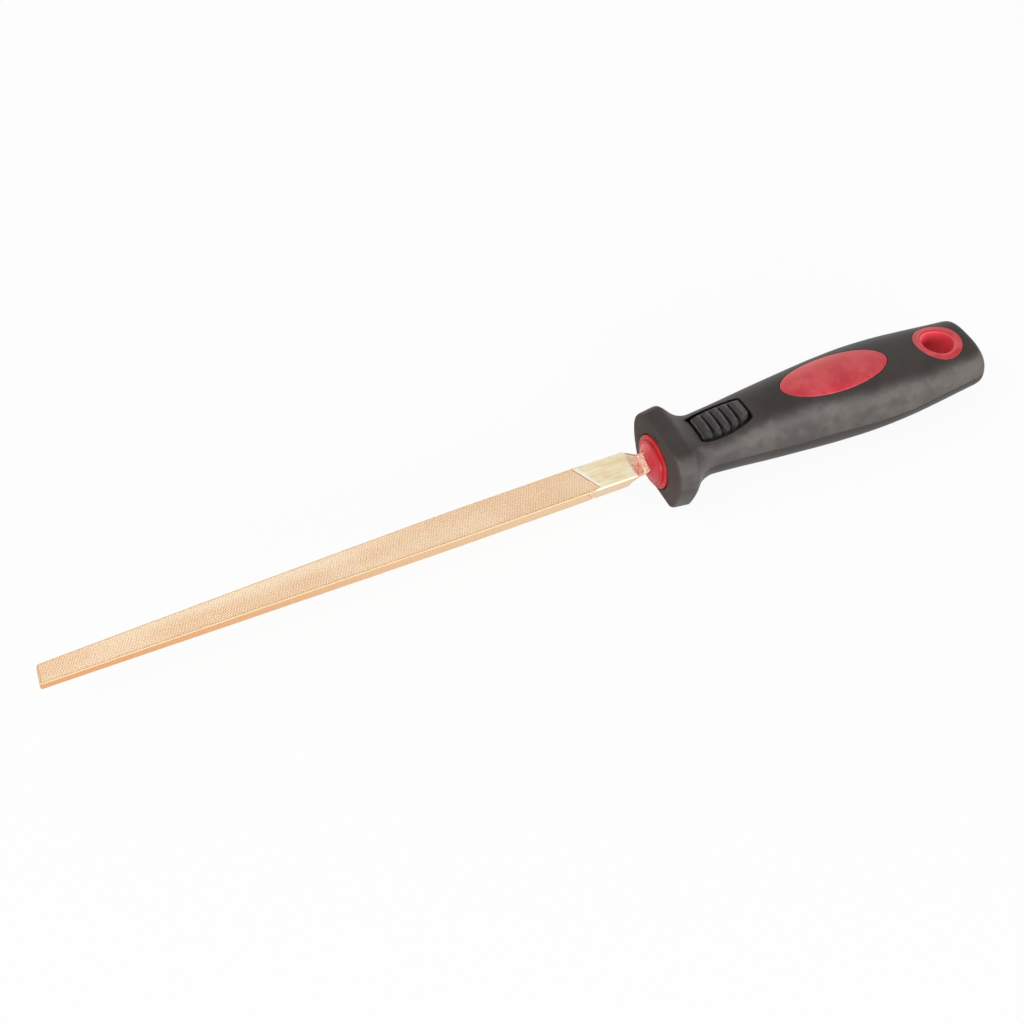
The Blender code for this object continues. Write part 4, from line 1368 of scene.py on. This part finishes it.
def grip_paint(grip):
    """Soft rubber: fine moulded grain, dust patches with painted light on the flanks, and warm
    patches.

    The dust and the painted light stop at the mould's parting line, which shows as a dark
    line, and under it the rubber carries painted shade. The dust is thicker towards the guard,
    whose front is matt. The pad's pocket is painted near black as shade.
    """
    paint = Paint("grip_rubber")
    x, up = paint.axis("X"), paint.normal("Z")
    cloud = paint.noise(62.0, 3.0, 0.55)
    blotch = paint.noise(230.0, 4.0, 0.6)
    grain = paint.noise(5200.0, 2.0, 0.5)
    neck, fallen, climb, climbed = parting_turns(grip)
    sunk = paint.ease(x, neck, fallen) - 0.5 * paint.ease(x, climb, climbed)
    above = paint.axis("Z") - AXIS_Z + grip.parting_drop * sunk
    behind = paint.ease(x, neck - 0.5 * grip.neck_fillet, neck)
    # Painted light: the flanks, by the way they face, take the paler dust colour
    flank_light = 1 - paint.ease(up, 0.66, 0.94)
    upper = paint.ease(above, -0.5 * MM, 0.3 * MM)
    patches = paint.ease(cloud * 0.65 + blotch * 0.40, 0.40, 0.66)
    lasting = upper * (0.65 + 0.35 * paint.ease(above, 0.0, 6.0 * MM))
    forward = 1 - paint.ease(x, GUARD_X + 10 * MM, GUARD_X + 50 * MM)
    # Dust patches, with painted light on the flanks above the parting line
    dust_and_flank_light = (flank_light * lasting + 0.16 + 0.28 * forward) * (0.35 + 0.65 * patches)
    guard = 1 - paint.ease(x, GUARD_X + 7 * MM, GUARD_X + 13 * MM)
    front = 1 - paint.ease(paint.normal("X"), -0.75, -0.40)
    # Painted shade under the parting line
    base = paint.mix(upper, grip.shade, grip.skin)
    base = paint.mix(dust_and_flank_light, base, grip.bloom)
    warm = guard * (1 - 0.75 * flank_light) * (0.50 + 0.5 * paint.ease(blotch, 0.40, 0.62))
    base = paint.mix(warm, base, grip.tint)
    base = paint.mix(front, base, grip.face)
    base = paint.mix(guard * 0.20 * (1 - patches), base, grip.shade)
    # Painted shade in the pad's pocket, by its depth
    base = paint.mix(paint.ease(paint.attribute("pocket"), 0.10, 0.35), base, grip.hollow)
    line = (1 - paint.ease((above * above) ** 0.5, 0.1 * MM, 0.5 * MM)) * behind
    base = paint.mix(0.85 * line, base, grip.shade)
    paint.set(Base_Color=base, Specular_IOR_Level=0.36,
              Roughness=0.32 + 0.16 * blotch + 0.06 * grain + 0.16 * dust_and_flank_light + 0.25 * front)
    paint.bump(grain * 0.6 + blotch * 0.5, 0.035 * MM, 0.5)
    return paint


def red_paint(fit, name, bore_x=None, ring_radius=None):
    """Satin red plastic with a faint haze of rubbing, a moulded grain and a painted sheen on the
    faces that look to the far side.

    The wall of a hanging hole at bore_x is painted paler as light, most on the guard's side,
    and a front disc is painted a deeper red outside ring_radius, as shade.
    """
    paint = Paint(name)
    haze = paint.noise(140.0, 3.0, 0.6)
    fine = paint.noise(3800.0, 2.0, 0.5)
    base = paint.mix(paint.ease(haze, 0.40, 0.70) * 0.6, fit.red, fit.red_worn)
    # Painted sheen: paler on the faces that look to the far side
    base = paint.mix(paint.ease(paint.normal("Y"), -0.15, 0.40), base, fit.red_pale)
    if ring_radius is not None:
        # Painted shade: deeper red outside the disc's step
        side, up = paint.axis("Y"), paint.axis("Z") - collar_centre(fit)
        reach = (side * side + up * up) ** 0.5
        base = paint.mix(paint.ease(reach, 0.9 * ring_radius, ring_radius), base, fit.red_deep)
    if bore_x is not None:
        # Painted light on the hole's wall, paler where the wall faces +X
        along, side = paint.axis("X") - bore_x, paint.axis("Y")
        reach = (along * along + side * side) ** 0.5
        inside = 1 - paint.ease(reach, fit.eyelet_bore, fit.eyelet_bore + fit.eyelet_lip)
        wall = paint.mix(paint.ease(paint.normal("X"), -0.1, 0.8), fit.red_bore, fit.red_wall)
        base = paint.mix(inside, base, wall)
    paint.set(Base_Color=base, Roughness=0.32 + 0.14 * haze + 0.05 * fine,
              Specular_IOR_Level=0.4)
    paint.bump(fine, 0.02 * MM, 0.4)
    return paint


def pad_paint(fit):
    """Thumb pad: smoother and glossier rubber, with painted shade in the grooves and a painted
    highlight along the crests.
    """
    paint = Paint("pad_rubber")
    height = paint.attribute("crest")
    haze = paint.noise(420.0, 3.0, 0.6)
    fine = paint.noise(5200.0, 2.0, 0.5)
    # Painted shade: darker towards the grooves, rims and fallen rib ends
    base = paint.mix(paint.ease(height, 0.25, 0.75), fit.pad_deep, fit.pad_skin)
    # Painted highlight on the crests, broken up by noise
    base = paint.mix(paint.ease(haze * 0.4 + height, 1.08, 1.22) * 0.7, base, fit.pad_worn)
    paint.set(Base_Color=base, Roughness=0.38 + 0.14 * haze, Specular_IOR_Level=0.5)
    paint.bump(fine, 0.02 * MM, 0.5)
    return paint


class TRIFILE_OT_blade(Operator):
    """Build the blade's body, shoulder and tang in plain alloy"""
    bl_idname = "trifile.blade"
    bl_label = "Blade body"

    def execute(self, context):
        blade = context.scene.trifile_blade
        body = grid_piece("blade_body", blade_body_points(blade), "face", "face")
        finish_piece(body, plain_alloy_paint(blade), "copper_alloy", "file_blade")
        return {"FINISHED"}


class TRIFILE_OT_faces(Operator):
    """Cut the teeth into the three faces and lay the plain panels at the heel"""
    bl_idname = "trifile.faces"
    bl_label = "Teeth and panels"

    def execute(self, context):
        blade = context.scene.trifile_blade
        cut, plain = alloy_paint(blade), plain_alloy_paint(blade, panel=True)
        for side in range(3):
            finish_piece(teeth(side, blade), cut, "copper_alloy")
            finish_piece(heel_panel(side, blade), plain, "copper_alloy")
        return {"FINISHED"}


class TRIFILE_OT_collar(Operator):
    """Build the front disc: flat ring, step, domed middle and the tang's slot"""
    bl_idname = "trifile.collar"
    bl_label = "Front collar"

    def execute(self, context):
        blade, fit = context.scene.trifile_blade, context.scene.trifile_fittings
        disc = grid_piece("collar_disc", collar_points(blade, fit), "open", "open")
        rework(disc.data, weld)
        paint = red_paint(fit, "red_collar", ring_radius=fit.collar_step_radius)
        finish_piece(disc, paint, "red_plastic", "front_collar")
        return {"FINISHED"}


class TRIFILE_OT_grip(Operator):
    """Build the soft grip with its guard, pocket, recess and hanging hole"""
    bl_idname = "trifile.grip"
    bl_label = "Grip"

    def execute(self, context):
        grip, fit = context.scene.trifile_grip, context.scene.trifile_fittings
        skin = grid_piece("grip_skin", grip_points(grip, fit))
        over = 5 * MM
        hole_radius = fit.eyelet_radius + fit.eyelet_gap
        hole = oval(hole_radius, hole_radius, 128, eyelet_centre())
        recess = oval(fit.badge_half_length + fit.badge_gap, fit.badge_half_width + fit.badge_gap,
                      160, badge_centre())
        top = GRIP_HIGH.z + over
        cut_away(skin, [upright_tube("hole_cutter", hole, GRIP_LOW.z - over, top),
                        upright_tube("recess_cutter", recess, LABEL_LOW.z - over, top),
                        pocket_cutter(grip, fit)])
        mark_pocket(skin.data, grip, fit)
        finish_piece(skin, grip_paint(grip), "black_grip", "grip_shell")
        return {"FINISHED"}


class TRIFILE_OT_pad(Operator):
    """Build the ribbed thumb pad"""
    bl_idname = "trifile.pad"
    bl_label = "Thumb pad"

    def execute(self, context):
        grip, fit = context.scene.trifile_grip, context.scene.trifile_fittings
        points, crest = pad_points(grip, fit)
        pad = grid_piece("pad_ribbed", points, "face", "face", values=("crest", crest))
        finish_piece(pad, pad_paint(fit), "black_pad", "thumb_pad")
        return {"FINISHED"}


class TRIFILE_OT_badge(Operator):
    """Build the flush oval badge"""
    bl_idname = "trifile.badge"
    bl_label = "Badge"

    def execute(self, context):
        grip, fit = context.scene.trifile_grip, context.scene.trifile_fittings
        badge = grid_piece("badge_oval", badge_points(grip, fit), "pole", "face")
        finish_piece(badge, red_paint(fit, "red_badge"), "red_plastic", "label_badge")
        return {"FINISHED"}


class TRIFILE_OT_eyelet(Operator):
    """Build the red ring and bush of the hanging hole"""
    bl_idname = "trifile.eyelet"
    bl_label = "Hanging eyelet"

    def execute(self, context):
        grip, fit = context.scene.trifile_grip, context.scene.trifile_fittings
        eyelet = grid_piece("eyelet_ring", eyelet_points(grip, fit), "open", "open")
        rework(eyelet.data, weld)
        paint = red_paint(fit, "red_eyelet", bore_x=eyelet_centre())
        finish_piece(eyelet, paint, "red_plastic", "hanging_eyelet")
        return {"FINISHED"}


class TRIFILE_OT_core(Operator):
    """Paint the hidden core, which keeps its CAD solid"""
    bl_idname = "trifile.core"
    bl_label = "Core"

    def execute(self, context):
        wear(NODES["handle_core"], red_paint(context.scene.trifile_fittings, "red_core"))
        return {"FINISHED"}


class TRIFILE_OT_stage(Operator):
    """Set up the floor, the lamps, the world and the camera"""
    bl_idname = "trifile.stage"
    bl_label = "Stage"

    def execute(self, context):
        stage = context.scene.trifile_stage
        if stage.show_floor:
            self.floor(stage)
        self.world(context.scene, stage)
        self.lamp("key_lamp", stage.key_power)
        self.lamp("rim_lamp", stage.rim_power)
        self.lamp("fill_lamp", stage.fill_power)
        self.camera(context.scene, stage)
        context.scene.view_settings.view_transform = "Standard"
        return {"FINISHED"}

    def seen_plainly(self, nodes):
        """1 for camera, glossy and transmission rays, and 0 for the rest."""
        seen = nodes.node("ShaderNodeLightPath", output="Is Camera Ray")
        rays = seen.socket.node.outputs
        for name in ("Is Glossy Ray", "Is Transmission Ray"):
            seen = seen.math("MAXIMUM", seen, Wire(nodes, rays[name]))
        return seen

    def floor(self, stage):
        """Wide pale floor: plain white to the camera, with the object's shadow kept."""
        mesh = bpy.data.meshes.new("floor")
        corners = [(x * FLOOR_REACH, y * FLOOR_REACH, 0)
                   for x, y in ((-1, -1), (1, -1), (1, 1), (-1, 1))]
        mesh.from_pydata(corners, [], [(0, 1, 2, 3)])
        floor = add_object("floor", mesh)
        paint = Paint("floor_paper")
        paper = paint.node("ShaderNodeBsdfDiffuse", inputs={"Color": PAPER})
        glow = paint.node("ShaderNodeEmission")
        seen = self.seen_plainly(paint) * stage.floor_cover
        blend = paint.node("ShaderNodeMixShader", inputs={0: seen, 1: paper, 2: glow})
        paint.connect(paint.tree.nodes["Material Output"].inputs["Surface"], blend)
        wear(floor, paint)

    def world(self, scene, stage):
        """White surroundings at the horizon that grow dimmer overhead."""
        scene.world = bpy.data.worlds.new("studio")
        scene.world.use_nodes = True
        nodes = Nodes(scene.world.node_tree)
        level = nodes.node("ShaderNodeMapRange", {"interpolation_type": "SMOOTHSTEP"}, {
            "Value": nodes.axis("Z"), "From Min": 0.0, "From Max": stage.overhead,
            "To Min": stage.horizon_level, "To Max": stage.sky_level})
        back = nodes.tree.nodes["Background"]
        nodes.connect(back.inputs["Color"], (1.0, 1.0, 1.0))
        nodes.connect(back.inputs["Strength"], level)

    def lamp(self, name, power):
        """Wide area lamp aimed at the middle of the tool."""
        place, size = LAMPS[name]
        data = bpy.data.lights.new(name, "AREA")
        data.shape = "RECTANGLE"
        data.size, data.size_y = size
        data.energy = power
        lamp = add_object(name, data)
        lamp.location = place
        lamp.rotation_euler = (-Vector(place)).to_track_quat("-Z", "Y").to_euler()

    def camera(self, scene, stage):
        """Camera at the photograph's viewing angle."""
        data = bpy.data.cameras.new("camera")
        data.lens = stage.lens
        data.sensor_width = 36.0
        camera = add_object("camera", data)
        camera.location = (stage.camera_x, stage.camera_y, stage.camera_z)
        heading = Matrix.Rotation(stage.heading - math.pi / 2, 3, "Z")
        dip = Matrix.Rotation(math.pi / 2 - stage.dip, 3, "X")
        roll = Matrix.Rotation(stage.roll, 3, "Z")
        camera.rotation_euler = (heading @ dip @ roll).to_euler()
        scene.camera = camera


class TRIFILE_PT_panel(Panel):
    """Sidebar list of the file's settings and build steps"""
    bl_idname = "TRIFILE_PT_panel"
    bl_label = "Triangular File"
    bl_space_type = "VIEW_3D"
    bl_region_type = "UI"
    bl_category = "File"

    def draw(self, context):
        for name in GROUPS:
            group = getattr(context.scene, name)
            box = self.layout.box()
            for prop in group.bl_rna.properties:
                if prop.identifier in group.__annotations__:
                    box.prop(group, prop.identifier)
        for step in STEPS:
            self.layout.operator(step.bl_idname)


GROUPS = {
    "trifile_blade": FileBladeSettings,
    "trifile_grip": FileGripSettings,
    "trifile_fittings": FileFittingSettings,
    "trifile_stage": FileStageSettings,
}
STEPS = (TRIFILE_OT_blade, TRIFILE_OT_faces, TRIFILE_OT_collar, TRIFILE_OT_grip,
         TRIFILE_OT_pad, TRIFILE_OT_badge, TRIFILE_OT_eyelet, TRIFILE_OT_core,
         TRIFILE_OT_stage)
CLASSES = (*GROUPS.values(), *STEPS, TRIFILE_PT_panel)


def register():
    """Register the settings, the operators and the panel."""
    for kind in CLASSES:
        bpy.utils.register_class(kind)
    for name, group in GROUPS.items():
        setattr(bpy.types.Scene, name, PointerProperty(type=group))


def unregister():
    """Remove what register() added."""
    for name in GROUPS:
        delattr(bpy.types.Scene, name)
    for kind in reversed(CLASSES):
        bpy.utils.unregister_class(kind)


def main():
    """Build everything."""
    register()
    for step in STEPS:
        area, name = step.bl_idname.split(".")
        getattr(getattr(bpy.ops, area), name)()


if __name__ == "__main__":
    main()
